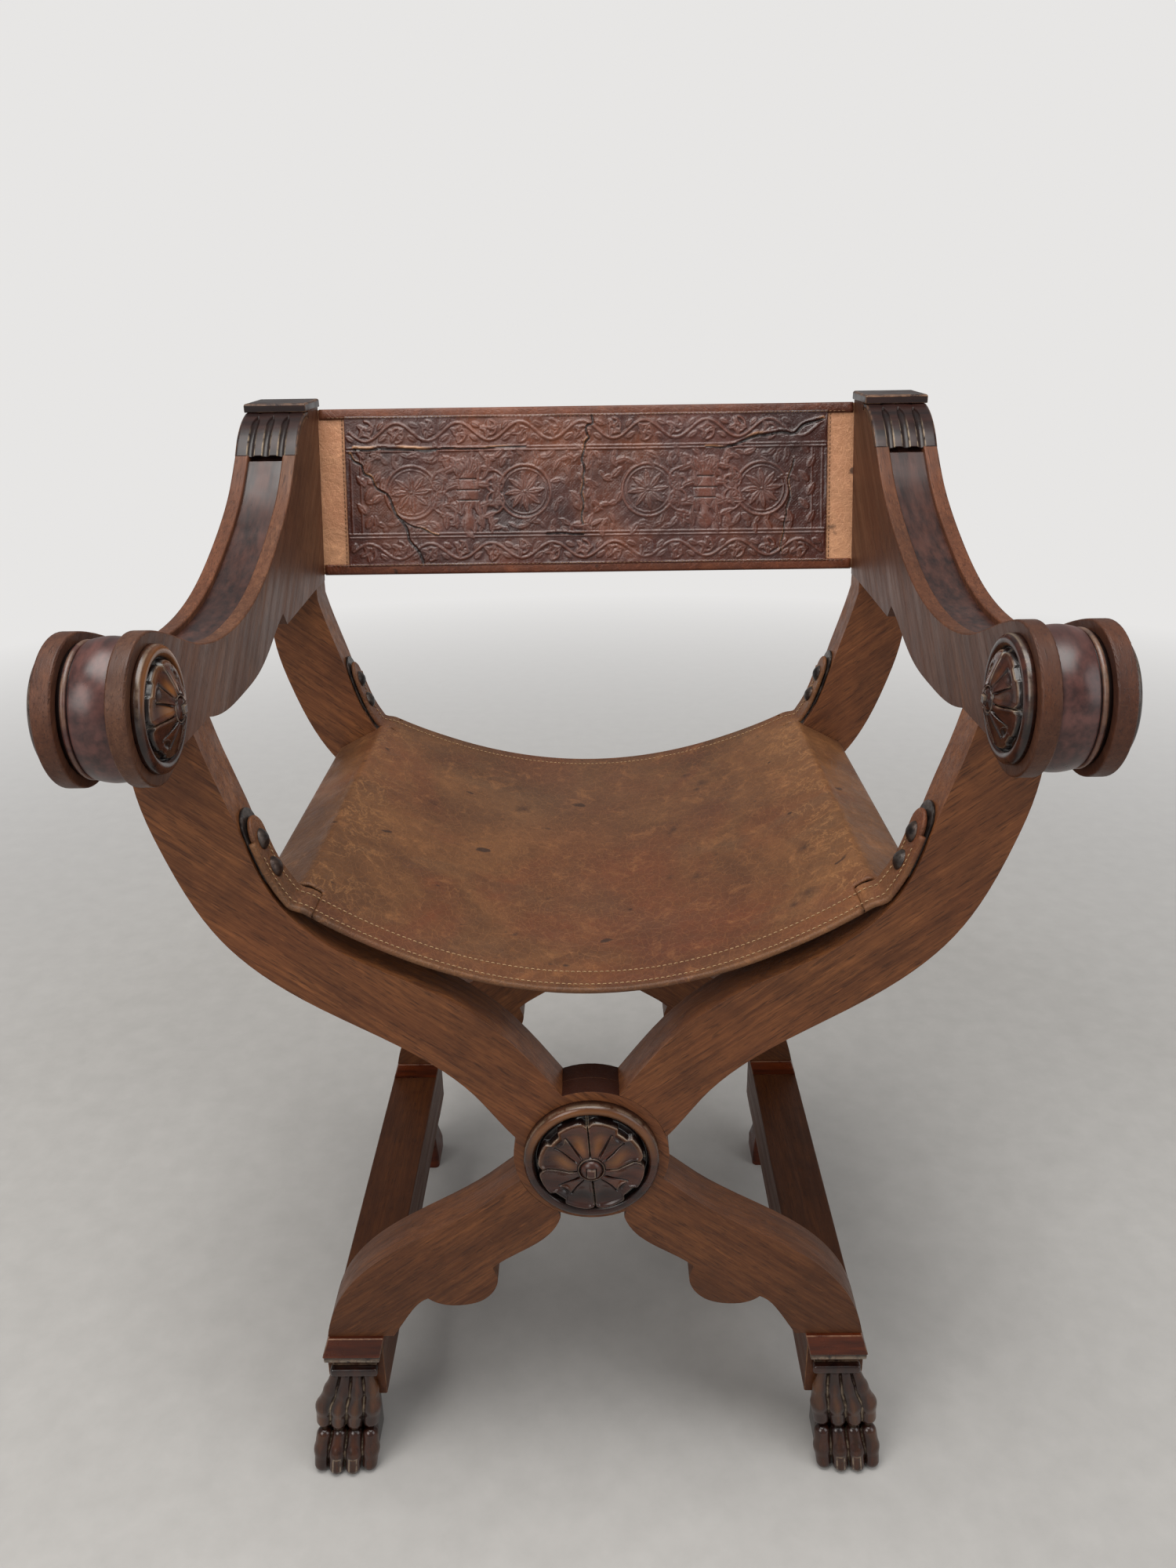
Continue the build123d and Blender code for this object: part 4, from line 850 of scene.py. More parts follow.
def round_cone(p, a, b, ra, rb):
    """Distance to a bar with round ends of different radii."""
    a, b = np.array(a, float), np.array(b, float)
    ab = b - a
    h = np.clip(((p - a) @ ab) / (ab @ ab), 0, 1)
    return np.linalg.norm(p - a - h[..., None] * ab, axis=-1) - (ra + (rb - ra) * h)


def round_box(p, centre, half, corner):
    q = np.abs(p - np.array(centre, float)) - (np.array(half, float) - corner)
    return np.linalg.norm(np.maximum(q, 0), axis=-1) + np.minimum(q.max(axis=-1), 0) - corner


def join(a, b, k):
    h = np.clip(0.5 + 0.5 * (b - a) / k, 0, 1)
    return b + (a - b) * h - k * h * (1 - h)


# The paw at +X; depths are from the front frame's face
TOE_X = (201.6, 215.4, 229.2, 242.9)
TOE_TIP_X = (203.6, 218.0, 232.6, 246.2)
TOE_TIP_Y = (-6.6, -10.2, -10.2, -6.6)
NAIL = (3.3, 12.0, 7.6)  # half its width, its middle's height and half its length
RIDGES = (  # middle of each ridge from the neck down to the knuckle: x, depth, height, radius
    ((199.4, 5.0, 99.5, 4.6), (198.0, 4.0, 84, 6.5), (198.6, 2.6, 66, 7.9), (200.8, 2.2, 50, 7.4)),
    ((209.2, 4.2, 99.5, 5.0), (209.8, 3.0, 84, 6.9), (212.6, 1.2, 66, 8.3), (214.6, 1.0, 49.5, 7.8)),
    ((218.8, 4.2, 99.5, 5.0), (221.6, 3.0, 84, 6.9), (227.0, 1.2, 66, 8.3), (229.0, 1.0, 49.5, 7.8)),
    ((228.2, 5.0, 99.5, 4.6), (232.8, 4.0, 84, 6.5), (240.0, 2.6, 66, 7.9), (241.8, 2.2, 50, 7.4)),
)
BODY_BOX = ((221.5, 25, 32), (23.5, 19, 33), 9)  # middle, half sizes and corner radius
NECK_BOX = ((212.8, 14.4, 95), (13.2, 8, 20), 3)
COLLAR_BOX = ((210.2, 5.0, 108.6), (20.6, 7.6, 4.2), 2.4)  # over the ridges
LEG_FOOT = (7.9, 72.9)  # the paw stays in front of this depth above this height
PAW_TOP = 114.3
MOULDING_X = 209.8
MOULDING_REAR = 7.9
MOULDING_NOSE = 1.0 - 3.3 - 3.2
BAND = (125.0, 131.0)
HOLLOW_LOW = 112.5
PAW_PITCH = 0.7
PAW_BOX = (np.array([186.0, -21.0, -1.5]), np.array([254.0, 47.0, 116.0]))


def paw_fingers(p):
    """Distances to the four toes and the four ridges above them."""
    parts = []
    for x, low_x, tip in zip(TOE_X, TOE_TIP_X, TOE_TIP_Y):
        middle = ((x + low_x) / 2, tip + 2.6, 21)
        knuckle = round_cone(p, (x, -0.8, 35.0), middle, 7.1, 7.9)
        parts.append(join(knuckle, round_cone(p, middle, (low_x, tip - 1.0, 7.2), 7.9, 6.8), 3.0))
    for ridge in RIDGES:
        bars = [round_cone(p, a[:3], b[:3], a[3], b[3]) for a, b in zip(ridge[:-1], ridge[1:])]
        parts.append(join(join(bars[0], bars[1], 3.5), bars[2], 3.5))
    return parts


def creases(fingers):
    """Nearest finger, and how close each place is to a crease between two of them."""
    near = np.sort(np.stack(fingers, axis=-1), axis=-1)
    return near[..., 0], near[..., 1] - near[..., 0]


def nail_line(p):
    """1 on the cut outline of the two middle nails."""
    out = np.zeros(p.shape[:-1])
    half_w, middle, half_l = NAIL
    for x, low_x in zip(TOE_X[1:3], TOE_TIP_X[1:3]):
        x = low_x + (x - low_x) * np.clip(p[..., 2] / 35, 0, 1)
        square = np.maximum(np.abs(p[..., 0] - x) - half_w, np.abs(p[..., 2] - middle) - half_l)
        out = np.maximum(out, bell(square, 0.5) * (p[..., 1] < -8.0))
    return out


def paw_field(p):
    fingers = paw_fingers(p)
    out = fingers[0]
    for each in fingers[1:]:
        out = join(out, each, 0.7)
    near, gap = creases(fingers)
    out = out + (0.45 * bell(gap, 0.9) * (near < 3) + 0.6 * nail_line(p)) * (p[..., 1] < 22)
    for box, blend in ((BODY_BOX, 2.0), (NECK_BOX, 1.6), (COLLAR_BOX, 0.8)):
        out = join(out, round_box(p, *box), blend)
    out = np.maximum(out, np.minimum(p[..., 1] - LEG_FOOT[0], p[..., 2] - LEG_FOOT[1]))
    return np.maximum(np.maximum(out, p[..., 2] - PAW_TOP), -p[..., 2])


def moulding_parts():
    """Flat band over a hollow moulding, as two closed strips."""
    low, high = BAND
    nose, rear = MOULDING_NOSE, MOULDING_REAR
    band = [(rear, high), (nose + 0.6, high), (nose, high - 0.6), (nose, low + 0.6), (nose + 0.6, low), (rear, low)]
    hollow = [(nose + 1.0 + 7.5 * sin(t), low - 11.0 * (1 - cos(t))) for t in np.linspace(0, pi / 2, 9)]
    hollow = [(rear, low), *hollow, (3.0, HOLLOW_LOW), (rear, HOLLOW_LOW)]
    for half, outline in ((23.8, band), (19.2, hollow)):
        outline = np.array(outline)
        eased = outline + (outline.mean(axis=0) - outline) * 0.6 / 8
        rows = []
        for x, flat in ((-half, eased), (-half + 0.8, outline), (half - 0.8, outline), (half, eased)):
            rows.append(np.column_stack([np.full(len(flat), MOULDING_X + x), flat]))
        yield np.array(rows)


def paw_piece(side, word, verts, faces):
    near, gap = creases(paw_fingers(verts))
    depth, height = verts[:, 1], verts[:, 2]
    front = step(26 - depth, 8, 22)
    uneven = np.clip(0.55 + 0.6 * soft_noise(verts / 1000, 150, 15), 0, 1)
    crease = bell(gap, 3.0) * step(3.0 - near, 0, 1.5) * front
    wax_and_glint = 0.9 * bell(gap, 1.15) * step(3.0 - near, 0, 1.5) * front * uneven
    # Amber on the ridges, stronger higher up: rubbing and painted highlight on their lit upper parts.
    rub_and_highlight = 0.24 * step(near, 0.9, -0.2) * step(gap, 3.5, 9) * front * uneven * step(height, 0, 12)
    rub_and_highlight = rub_and_highlight * (0.55 + 0.45 * step(height, 40, 60))
    shade = np.maximum(np.maximum(crease * 0.7, step(height, 108, 112) * 0.3), 0.45 * (1 - front))
    parts = [(verts, faces if side > 0 else faces[:, ::-1])]
    rows_of_marks = [(np.maximum(wax_and_glint, 0.6 * nail_line(verts)), shade, rub_and_highlight, 0 * near)]
    for block in moulding_parts():
        rows, cols = block.shape[:2]
        part = block.reshape(-1, 3)
        worn = np.clip(bell(part[:, 2] - 125.6, 0.5) + 0.5 * bell(part[:, 2] - 113.5, 1.0), 0, 1)
        parts.append((part, tube_faces(rows, cols)))
        # The moulding's band gets strong painted shade, the hollow under it a light one.
        rows_of_marks.append((0.5 * worn, np.where(part[:, 2] > BAND[0] - 0.5, 0.85, 0.3), 0 * worn, worn))
    pts, all_faces = merged(parts)
    marks = dict(zip(("wax_and_glint", "deep", "rub_and_highlight", "wear"), map(np.concatenate, zip(*rows_of_marks))))
    obj = make_object("carved_paw_" + word, pts * (side, 1, 1), all_faces, marks)
    dress(obj, f"front_paw_foot_{word}", "dark_wood", MAT["paw"])


axes = [np.arange(low, high, PAW_PITCH) for low, high in zip(*PAW_BOX)]
samples = np.stack(np.meshgrid(*axes, indexing="ij"), axis=-1)
paw_verts, paw_faces = surface_net(paw_field(samples), PAW_BOX[0], PAW_PITCH)
paw_verts[:, 2] = np.maximum(paw_verts[:, 2], 0.0)
for side, word in SIDES:
    paw_piece(side, word, paw_verts, paw_faces)


# ---------------------------------------------------------------- stitches
THREAD_R = 0.42
THREAD_LIFT = 0.25
LOOP = ((0.0, -0.9, 0.35), (0.12, 0.15, 0.9), (0.5, 0.55, 1.0), (0.88, 0.15, 0.9), (1.0, -0.9, 0.35))


def stitch_run(points, normals, pitch, length):
    """Short thread loops along a line that lies on a surface; each is a row of six-sided rings."""
    at = np.arange(pitch, path_length(points) - pitch, pitch)
    a, b, up = along(points, at), along(points, at + length), unit(rows_at(points, normals, at))
    for p, q, n in zip(a, b, up):
        across = np.cross((q - p) / max(np.linalg.norm(q - p), 1e-9), n)
        verts = []
        for share, lift, fat in LOOP:
            mid = p + (q - p) * share + n * (THREAD_LIFT + lift * THREAD_R)
            for k in range(6):
                t = 2 * pi * k / 6
                verts.append(mid + THREAD_R * fat * (cos(t) * across + sin(t) * n))
        yield verts, tube_faces(len(LOOP), 6)


def stitch_object(name, runs, pitch, length, material, slot):
    verts, faces = merged(loop for run in runs for loop in stitch_run(*run, pitch, length))
    return cover(make_object(name, verts, faces), slot, material)


# ---------------------------------------------------------------- seat
HEM = 3.0  # the sling's hems behind and in front of the frames' outer faces
SLING_Y = (HEM, REAR_Y + LEG_T - HEM)
SLING_LOW = (149, 170)  # lowest point of the front and the rear hem, above the pivot
SLING_END = (217.0, 227)  # x of the sling's end and its height above the pivot
LEATHER = 3.6
CUT_X = 201.0  # the straps part from the sling outside this
INNER_N, TAIL_N = 46, 30  # points across half the sling, and along a strap or a wrap
UPPER_INNER = [(8, 38), (28, 66), (73, 121), (128, 159), (186, 190), (229, 237)]
LIMB = natural_spline(
    [(x, HUB_Z + z) for x, z in UPPER_INNER]
    + [(ARM_X - 19, ARM_Z - 65), (ARM_X - 6, ARM_Z - 23), (ARM_X, ARM_Z)], 600,
)


def limb_line(distance, low, high):
    """Line at a distance from the upper limbs' inner edge, between two heights."""
    line = offset_line(LIMB, distance)
    return line[(line[:, 1] > low) & (line[:, 1] < high)]


def wrap_line():
    """Middle of the leather over the seat rail, round its outer edge and under it."""
    lay = 0.3 + LEATHER / 2
    c, s = cos(RAIL_SLOPE), sin(RAIL_SLOPE)
    out, up = np.array([c, -s]), np.array([s, c])
    corner = np.array(RAIL)
    edge = corner + out * RAIL_W
    under = edge - up * RAIL_T
    pts = [corner + out * t + up * lay for t in (3.5, 9, 20, 32, RAIL_W - 2)]
    pts += [edge + lay * (up * cos(t * pi / 2) + out * sin(t * pi / 2)) for t in (0.15, 0.4, 0.6, 0.85)]
    pts += [edge - up * d + out * lay for d in (4, 10, RAIL_T - 2)]
    pts += [under + lay * (out * cos(t * pi / 2) - up * sin(t * pi / 2)) for t in (0.2, 0.5, 0.8)]
    return np.array(pts + [under - out * d - up * lay for d in (4, 12, RAIL_W / 2)])


STRAP_LINE, WRAP_LINE = limb_line(4.7, 566.0, HUB_Z + 291.5), wrap_line()


def backing_piece(side, word):
    """Dark metal strips behind the straps, with round upper ends that stand out past the leather."""
    line = limb_line(1.3, HUB_Z + 243.5, HUB_Z + 296.5)
    length, half = path_length(line), 15.4
    parts = []
    for middle in LEG_MIDDLES:
        verts = []
        for off in half * np.sin(np.linspace(-pi / 2, pi / 2, 15)):
            end = length - (half - sqrt(max(half**2 - off**2, 0)))
            verts += [(side * x, middle + off, z) for x, z in along(line, np.linspace(0, end, 24))]
        parts.append((verts, grid_faces(15, 24)))
    obj = make_object("backing_" + word, *merged(parts), outward=False)
    modify(obj, "SOLIDIFY", thickness=0.0019, offset=0)
    modify(obj, "BEVEL", width=0.0006, segments=2)
    apply_modifiers(obj)
    dress(obj, f"strap_backing_{word}", "dark_iron", MAT["iron"])


for side, word in SIDES:
    backing_piece(side, word)


def sling_height(x, y):
    low, high = SLING_LOW
    low = HUB_Z + low + (high - low) * (y - SLING_Y[0]) / (SLING_Y[1] - SLING_Y[0])
    return low + (HUB_Z + SLING_END[1] - low) * (x / SLING_END[0]) ** 2 + 2.4


def seat_line(y, strap):
    """Section of the seat at one depth, from its middle outwards."""
    x = np.linspace(0, CUT_X, 60)
    inner = np.column_stack([x, sling_height(x, y)])
    rise = inner[-1, 1]
    if strap:
        tail, knee = STRAP_LINE, [[208.0, (rise + STRAP_LINE[0, 1]) / 2 + 0.2]]
    else:
        tail, knee = WRAP_LINE, [[207.0, rise + 4.2], [212.5, rise + 6.6]]
    through = np.concatenate([inner[-3:], knee, tail[:: max(1, len(tail) // 14)], tail[-1:]])
    return inner, natural_spline(through, 120)[6:]


def strap_end(y):
    """How much of the strap's rounded upper end is missing at one depth."""
    middle = LEG_MIDDLES[0] if y < REAR_Y / 2 else LEG_MIDDLES[1]
    return 15.5 - sqrt(max(15.5**2 - (y - middle) ** 2, 0))


def seat_spots(x, y):
    """Dark stains: one broad cloud, one long mark and small round spots."""
    dark = 0.9 * bell(np.hypot((x - 78 - 0.45 * (y - 245)) * 2.4, (y - 245) * 0.55), 5.5)
    for sx, sy, r in (
        (112, 330, 3), (98, 356, 2.2), (-64, 300, 2.6), (-70, 296, 1.8), (-148, 262, 2.2), (92, 150, 2.2),
        (106, 318, 1.6), (134, 300, 1.4), (70, 160, 1.8), (180, 130, 2.4), (172, 60, 2.6), (160, 52, 2.0),
    ):
        dark = dark + 0.8 * bell(np.hypot(x - sx, y - sy), r * 1.7)
    return dark


def seat_marks(pts):
    """Where the seat is pale, grey, red and dark."""
    x, y = pts[..., 0], pts[..., 1]
    away = np.minimum(y, SLING_Y[1] - y)

    def cloud(low, high, scale, seed):
        return low + high * soft_noise(pts / 1000, scale, seed)

    pale = 0.95 * bell(np.abs(x) - 204, 9) * step(away, 20, 60) + 0.7 * bell(np.abs(x) - 190, 24) * step(away, 10, 40)
    red = 0.8 * bell(np.hypot(x - 25, (y - 190) * 0.9), 110) * cloud(0.5, 0.5, 34, 11)
    dark = 0.5 * bell(np.hypot((x - 15) / 1.2, y - 70), 46) * cloud(0.45, 0.55, 60, 13) + seat_spots(x, y)
    return clipped({
        "pale": pale + 0.35 * bell(np.hypot(x + 30, y - 150), 120),
        "zone_grey": 0.8 * step(y, 190, 320) * bell(x + 20, 130) * cloud(0.55, 0.45, 24, 9),
        "zone_red": red + 0.6 * bell(y - 14, 18) * cloud(0.6, 0.4, 60, 12),
        "dark": dark + 0.35 * (bell(y - SLING_Y[0], 3) + bell(y - SLING_Y[1], 2.5)),
    })


def seat_piece():
    """Sling with its straps and wraps: the mesh object, its middle surface, and the depth of each row."""
    front = [SLING_Y[0], 4.5, 7, 11, 16, 21, 26, 30, 32.5, 34.0]
    rear = [REAR_Y + LEG_T - v for v in front[::-1]]
    depths = np.array(front + list(np.linspace(37.4, REAR_Y - 0.4, 74)) + rear)
    straps = (depths <= front[-1]) | (depths >= rear[0])
    half_rows = []
    for y, strap in zip(depths, straps):
        inner, tail = seat_line(y, strap)
        a = along(inner, np.linspace(0, path_length(inner), INNER_N))
        length = path_length(tail) - (strap_end(y) if strap else 0)
        half_rows.append(np.concatenate([a, along(tail, np.linspace(0, length, TAIL_N + 1)[1:])]))
    half = np.array(half_rows)
    full = np.concatenate([half[:, :0:-1] * (-1, 1), half], axis=1)
    rows, cols = full.shape[:2]
    pts = np.empty((rows, cols, 3))
    pts[..., 0], pts[..., 2] = full[..., 0], full[..., 1]
    pts[..., 1] = depths[:, None]
    for middle in LEG_MIDDLES:  # straps taper, so their backings show
        own = straps & ((depths < REAR_Y / 2) == (middle < REAR_Y / 2))
        taper = 1 - 0.13 * step(pts[own, :, 2], 574, 592) * (np.abs(pts[own, :, 0]) > CUT_X)
        pts[own, :, 1] = middle + (pts[own, :, 1] - middle) * taper
    x, y = pts[..., 0], pts[..., 1]
    hem = step(26.5 - y, 0, 1.5) + step(y - (SLING_Y[1] - 13.5), 0, 1.5)
    flat = pts[..., :2] / 1000
    wave = soft_noise(flat, 26, 3) * 1.3 + soft_noise(flat, 70, 5) * 0.35
    wave = wave * step(np.minimum(y, SLING_Y[1] - y), 4, 60) + 0.7 * hem
    pts[..., 2] += step(200 - np.abs(x), 0, 60) * wave
    pts[..., 2] += -2.6 * bell(x, 150) * np.sin(pi * np.clip((y - 3) / 422, 0, 1)) ** 2

    # The straps and the wrap between them are cut apart outside the sling
    outside = np.abs(np.arange(cols) - cols // 2)
    outside = np.maximum(outside[:-1], outside[1:]) > INNER_N - 1
    cut = (straps[:-1] != straps[1:])[:, None] & outside
    faces = grid_faces(rows, cols)[~cut.ravel()]
    obj = make_object("seat_sling", pts, faces, seat_marks(pts), outward=False)
    modify(obj, "SOLIDIFY", thickness=LEATHER / 1000, offset=0)
    modify(obj, "SUBSURF", levels=1, render_levels=1)
    apply_modifiers(obj)
    return obj, pts, depths


def tube(points, radius, count=10):
    """Closed round bead along a line."""
    way = unit(np.gradient(points, axis=0))
    side = unit(np.cross(way, (0, 1.0, 0)))
    other = np.cross(side, way)
    angle = np.linspace(0, 2 * pi, count, endpoint=False)[:, None]
    ring = points[:, None] + radius * (np.cos(angle) * side[:, None] + np.sin(angle) * other[:, None])
    return ring.reshape(-1, 3), tube_faces(len(points), count)


def blend_over(obj):
    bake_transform(obj)


seat, seat_pts, seat_depths = seat_piece()
cover(seat, "seat_hide", MAT["seat"], "seat_leather")


def seat_row(depth):
    """Line across the seat at a depth, in the middle of the leather, with its normals."""
    line = seat_pts[int(np.argmin(np.abs(seat_depths - depth)))].copy()
    line[:, 1] = depth
    way = np.gradient(line, axis=0)
    return line, unit(np.stack([-way[:, 2], 0 * way[:, 0], way[:, 0]], axis=-1))


beads = [tube(seat_row(depth)[0], radius) for depth, radius in ((SLING_Y[0] - 0.2, 2.5), (SLING_Y[1] + 0.2, 2.0))]
seat_bead = cover(make_object("seat_hem_bead", *merged(beads)), "seat_hide", MAT["seat"])
seat_centre, sewn = seat_pts.shape[1] // 2, INNER_N + 22
runs = []
for depth in (7.5, 24.5, REAR_Y + LEG_T - 14.5):
    line, normal = (rows[seat_centre - sewn : seat_centre + sewn + 1] for rows in seat_row(depth))
    runs.append((line + normal * (LEATHER / 2), normal))
seat_thread = stitch_object("seat_stitches", runs, 4.4, 3.2, MAT["seat_thread"], "seat_hide")
for piece in (seat, seat_bead, seat_thread):
    blend_over(piece)

# ---------------------------------------------------------------- back
LEAN = np.array([0, 42.5, 165.0])
BACK_L = float(np.linalg.norm(LEAN))
UP = LEAN / BACK_L
FACE = np.array([0, -UP[2], UP[1]])  # out of the back, towards the sitter
BACK_ORIGIN = np.array([0, REAR_Y + 39.0, ARM_Z + 11.0])
BACK_LOW, BACK_HIGH = 5.0, BACK_L - 2.0
BACK_HALF = 319.5
BACK_FREE = 262  # half the width between the arms
PANEL = (-241.0, 241.0, 13.0, BACK_L - 10.0)


def back_sway(x, up):
    """Slight slack of the stretched back, nil at the arms."""
    p = np.stack(np.broadcast_arrays(x, up), axis=-1) / 1000
    return step(BACK_FREE - np.abs(x), 0, 70) * (0.9 * soft_noise(p, 20, 21) + 0.5 * soft_noise(p, 55, 22) - 0.6)


def on_back(x, up, out, sway_at=None):
    """Points of the back at x, a height along its slope and a distance out of it, moved with its slack."""
    out = out + back_sway(x, up if sway_at is None else sway_at) * 0.8
    x, up, out = np.broadcast_arrays(x, up, out)
    return BACK_ORIGIN + x[..., None] * np.array([1.0, 0, 0]) + up[..., None] * UP + out[..., None] * FACE


def back_sheet():
    up = np.linspace(BACK_LOW + 1, BACK_HIGH - 1, 46)
    uu, xx = np.meshgrid(up, np.linspace(-BACK_HALF, BACK_HALF, 160), indexing="ij")
    pts = on_back(xx, uu, -0.3 - 2.0)
    beside = np.abs(xx)
    marks = clipped({
        "pale": 0.35 * bell(beside - 264, 2.0),
        "dark": 0.25 * bell(beside - 240, 4) + 0.15 * np.clip(beside - BACK_FREE, 0, 5) / 5,
        "zone_red": 0.3 * (0.5 + 0.5 * soft_noise(pts / 1000, 60, 31)),
    })
    obj = make_object("back_sheet", pts, grid_faces(*xx.shape), marks, outward=False)
    modify(obj, "SOLIDIFY", thickness=0.0034, offset=0)
    apply_modifiers(obj)
    return cover(obj, "back_hide", MAT["back"], "back_leather")


def binding(name, at, inward):
    """Strip of leather folded over the back's edge: flat on both faces, round over the edge."""
    tip = [(inward * 7.9, 1.6), (inward * 7.8, 2.3)]
    front = [(inward * v, 3.2 + 0.5 * sin(pi * v / 8)) for v in (7.0, 5.5, 3.5, 1.5)]
    over = [(-inward * (2.6 * sin(t)), 3.2 * cos(t)) for t in np.linspace(0, pi, 13)]
    rear = [(inward * 3, -3.2), (inward * 6.5, -3.1), (inward * 7.9, -1.8)]
    outline = np.array(tip + front + over + rear)
    x = np.linspace(-266.0, 266.0, 150)[:, None]
    pts = on_back(x, at + outline[:, 0] + inward * 2.7, -2.3 + outline[:, 1], at)
    return cover(make_object(name, pts, tube_faces(len(x), len(outline))), "back_hide", MAT["binding"])


class Relief:
    """Height map of the tooled panel; ridges and lines are stamped along curves."""

    def __init__(self, width, height, pitch=0.72):
        self.pitch = pitch
        self.x = np.arange(-width / 2, width / 2 + pitch / 2, pitch)
        self.y = np.arange(0, height + pitch / 2, pitch)
        self.up = np.zeros((len(self.y), len(self.x)))
        self.down = np.zeros_like(self.up)

    def stamp(self, points, radius, amount, sink=False):
        """Rounded ridge (or groove) along a polyline; radius may change along it."""
        points = np.asarray(points, float)
        length = path_length(points)
        at = np.linspace(0, length, max(2, int(length / (self.pitch * 0.7))))
        radii = np.interp(at, np.linspace(0, length, np.size(radius)), np.atleast_1d(radius))
        target = self.down if sink else self.up
        for (px, py), r in zip(along(points, at), radii):
            i0, i1 = np.searchsorted(self.y, (py - r, py + r))
            j0, j1 = np.searchsorted(self.x, (px - r, px + r))
            if i0 < i1 and j0 < j1:
                d2 = (self.y[i0:i1, None] - py) ** 2 + (self.x[None, j0:j1] - px) ** 2
                high = amount * np.sqrt(np.clip(1 - d2 / r**2, 0, 1))
                target[i0:i1, j0:j1] = np.maximum(target[i0:i1, j0:j1], high)

    def leaf(self, x, y, angle, length, width, amount):
        """Pointed leaf with a middle vein."""
        t = np.linspace(0, 1, 16)
        bend = 0.25 * length * t * t
        line = np.column_stack([
            x + length * t * cos(angle) - bend * sin(angle) * 0.5,
            y + length * t * sin(angle) + bend * cos(angle) * 0.5,
        ])
        self.stamp(line, 0.35 + width / 2 * np.sin(pi * t**0.8), amount)
        self.stamp(line[1:-2], 0.45, amount * 0.55, sink=True)

    def circle(self, cx, cy, radius, width, amount):
        t = np.linspace(0, 2 * pi, 90)
        self.stamp(np.column_stack([cx + radius * np.cos(t), cy + radius * np.sin(t)]), width, amount)

    def spiral(self, cx, cy, radius, turns, start, way, widths):
        t = np.linspace(0, 1, 60)
        r = radius * (1 - (1 - 0.12) * t)
        angle = start + way * 2 * pi * turns * t
        self.stamp(np.column_stack([cx + r * np.cos(angle), cy + r * np.sin(angle)]), widths, 1.2)

    def vine(self, low, high, start, end, pitch, flip):
        """Running scroll: one waving stem with a coiled leaf in each wave."""
        middle, reach = (low + high) / 2, (high - low) / 2 - 3.0
        x = np.linspace(start, end, 400)
        stem = middle + reach * 0.8 * np.sin(2 * pi * (x - start) / pitch + flip)
        self.stamp(np.column_stack([x, stem]), 1.6, 1.2)
        for i in range(int((end - start) / pitch * 2)):
            cx = start + pitch * (i + 0.5) / 2 - flip / pi * pitch / 2
            if cx < start + 4 or cx > end - 4:
                continue
            way = 1 if i % 2 == 0 else -1
            cy = middle - way * reach * 0.18
            self.spiral(cx, cy, reach * 0.82, 1.15, -way * pi / 2, way, [1.5, 1.3, 2.2])
            for k in range(4):
                angle = way * (0.7 + 1.35 * k) + i
                self.leaf(cx + 2.2 * cos(angle), cy + 2.2 * sin(angle), angle, 7.0, 5.2, 1.2)
            self.leaf(cx + pitch * 0.22, middle + way * reach * 0.75, -way * 0.5, 9.0, 5.5, 1.1)
            self.leaf(cx - pitch * 0.2, middle + way * reach * 0.8, pi + way * 0.7, 8.5, 5.0, 1.1)

    def medallion(self, cx, cy, radius):
        """Round flower in a double frame."""
        inner = radius - 4.0
        self.circle(cx, cy, radius, 1.5, 1.25)
        self.circle(cx, cy, inner, 0.8, 0.8)
        for turned, shorter, width, amount in ((0, 2.0, 7.0, 1.35), (0.5, 5.0, 4.0, 0.9)):
            for k in range(8):
                self.leaf(cx, cy, 2 * pi * (k + turned) / 8, inner - shorter, width, amount)
        self.stamp([(cx - 0.1, cy), (cx + 0.1, cy)], 3.0, 1.7)

    def foliage(self, cx, cy, way, reach):
        """Branching scrolls with broad leaves, growing from an urn outwards."""
        for up in (1, -1):
            stem = natural_spline(
                [(cx, cy - 14), (cx + way * 9, cy + up * 6 - 2), (cx + way * reach * 0.42, cy + up * 24),
                 (cx + way * reach * 0.78, cy + up * 21)], 60,
            )
            self.stamp(stem, [2.0, 1.5, 1.2], 1.25)
            eye = (stem[-1, 0] - way * 1, stem[-1, 1] - up * 12.5)
            self.spiral(*eye, 12.5, 1.35, up * pi / 2, -up * way, [1.3, 1.1, 2.2])
            for k in range(5):
                angle = up * (1.2 - 0.62 * k)
                self.leaf(*eye, angle if way > 0 else pi - angle, 9.5, 5.6, 1.15)
            leaves = ((0.3, 1.1, 15), (0.45, -0.9, 14), (0.6, 1.0, 15), (0.75, -1.0, 13), (0.9, 0.9, 13))
            for share, turn, size in leaves:
                angle = atan2(up * 0.7, way) + turn * way * up * 0.9
                self.leaf(*stem[int(share * 59)], angle, size, 7.0, 1.25)

    def urn(self, cx, cy):
        widths = [8.5, 4.0, 4.5, 10.5, 12.0, 7.0, 9.0]
        self.stamp([(cx, cy + y) for y in (-30, -26, -21, -12, -2, 8, 16)], widths, 1.5)
        for y, w in ((-8, 10.5), (2, 11.0), (13, 8.0)):
            self.stamp([(cx - w, cy + y), (cx + w, cy + y)], 0.8, 1.1, sink=True)
        for k in (-2, -1, 0, 1, 2):
            self.leaf(cx + 2.5 * k, cy + 18, pi / 2 - 0.42 * k, 17 - 1.6 * abs(k), 6.0, 1.3)


def tear(start, end, count, rough, seed):
    """Ragged line between two places."""
    rng = np.random.default_rng(seed)
    t = np.linspace(0, 1, count)
    line = np.outer(1 - t, start) + np.outer(t, end)
    line[1:-1] += rng.normal(0, rough, (count - 2, 2))
    return natural_spline(line, count * 6)


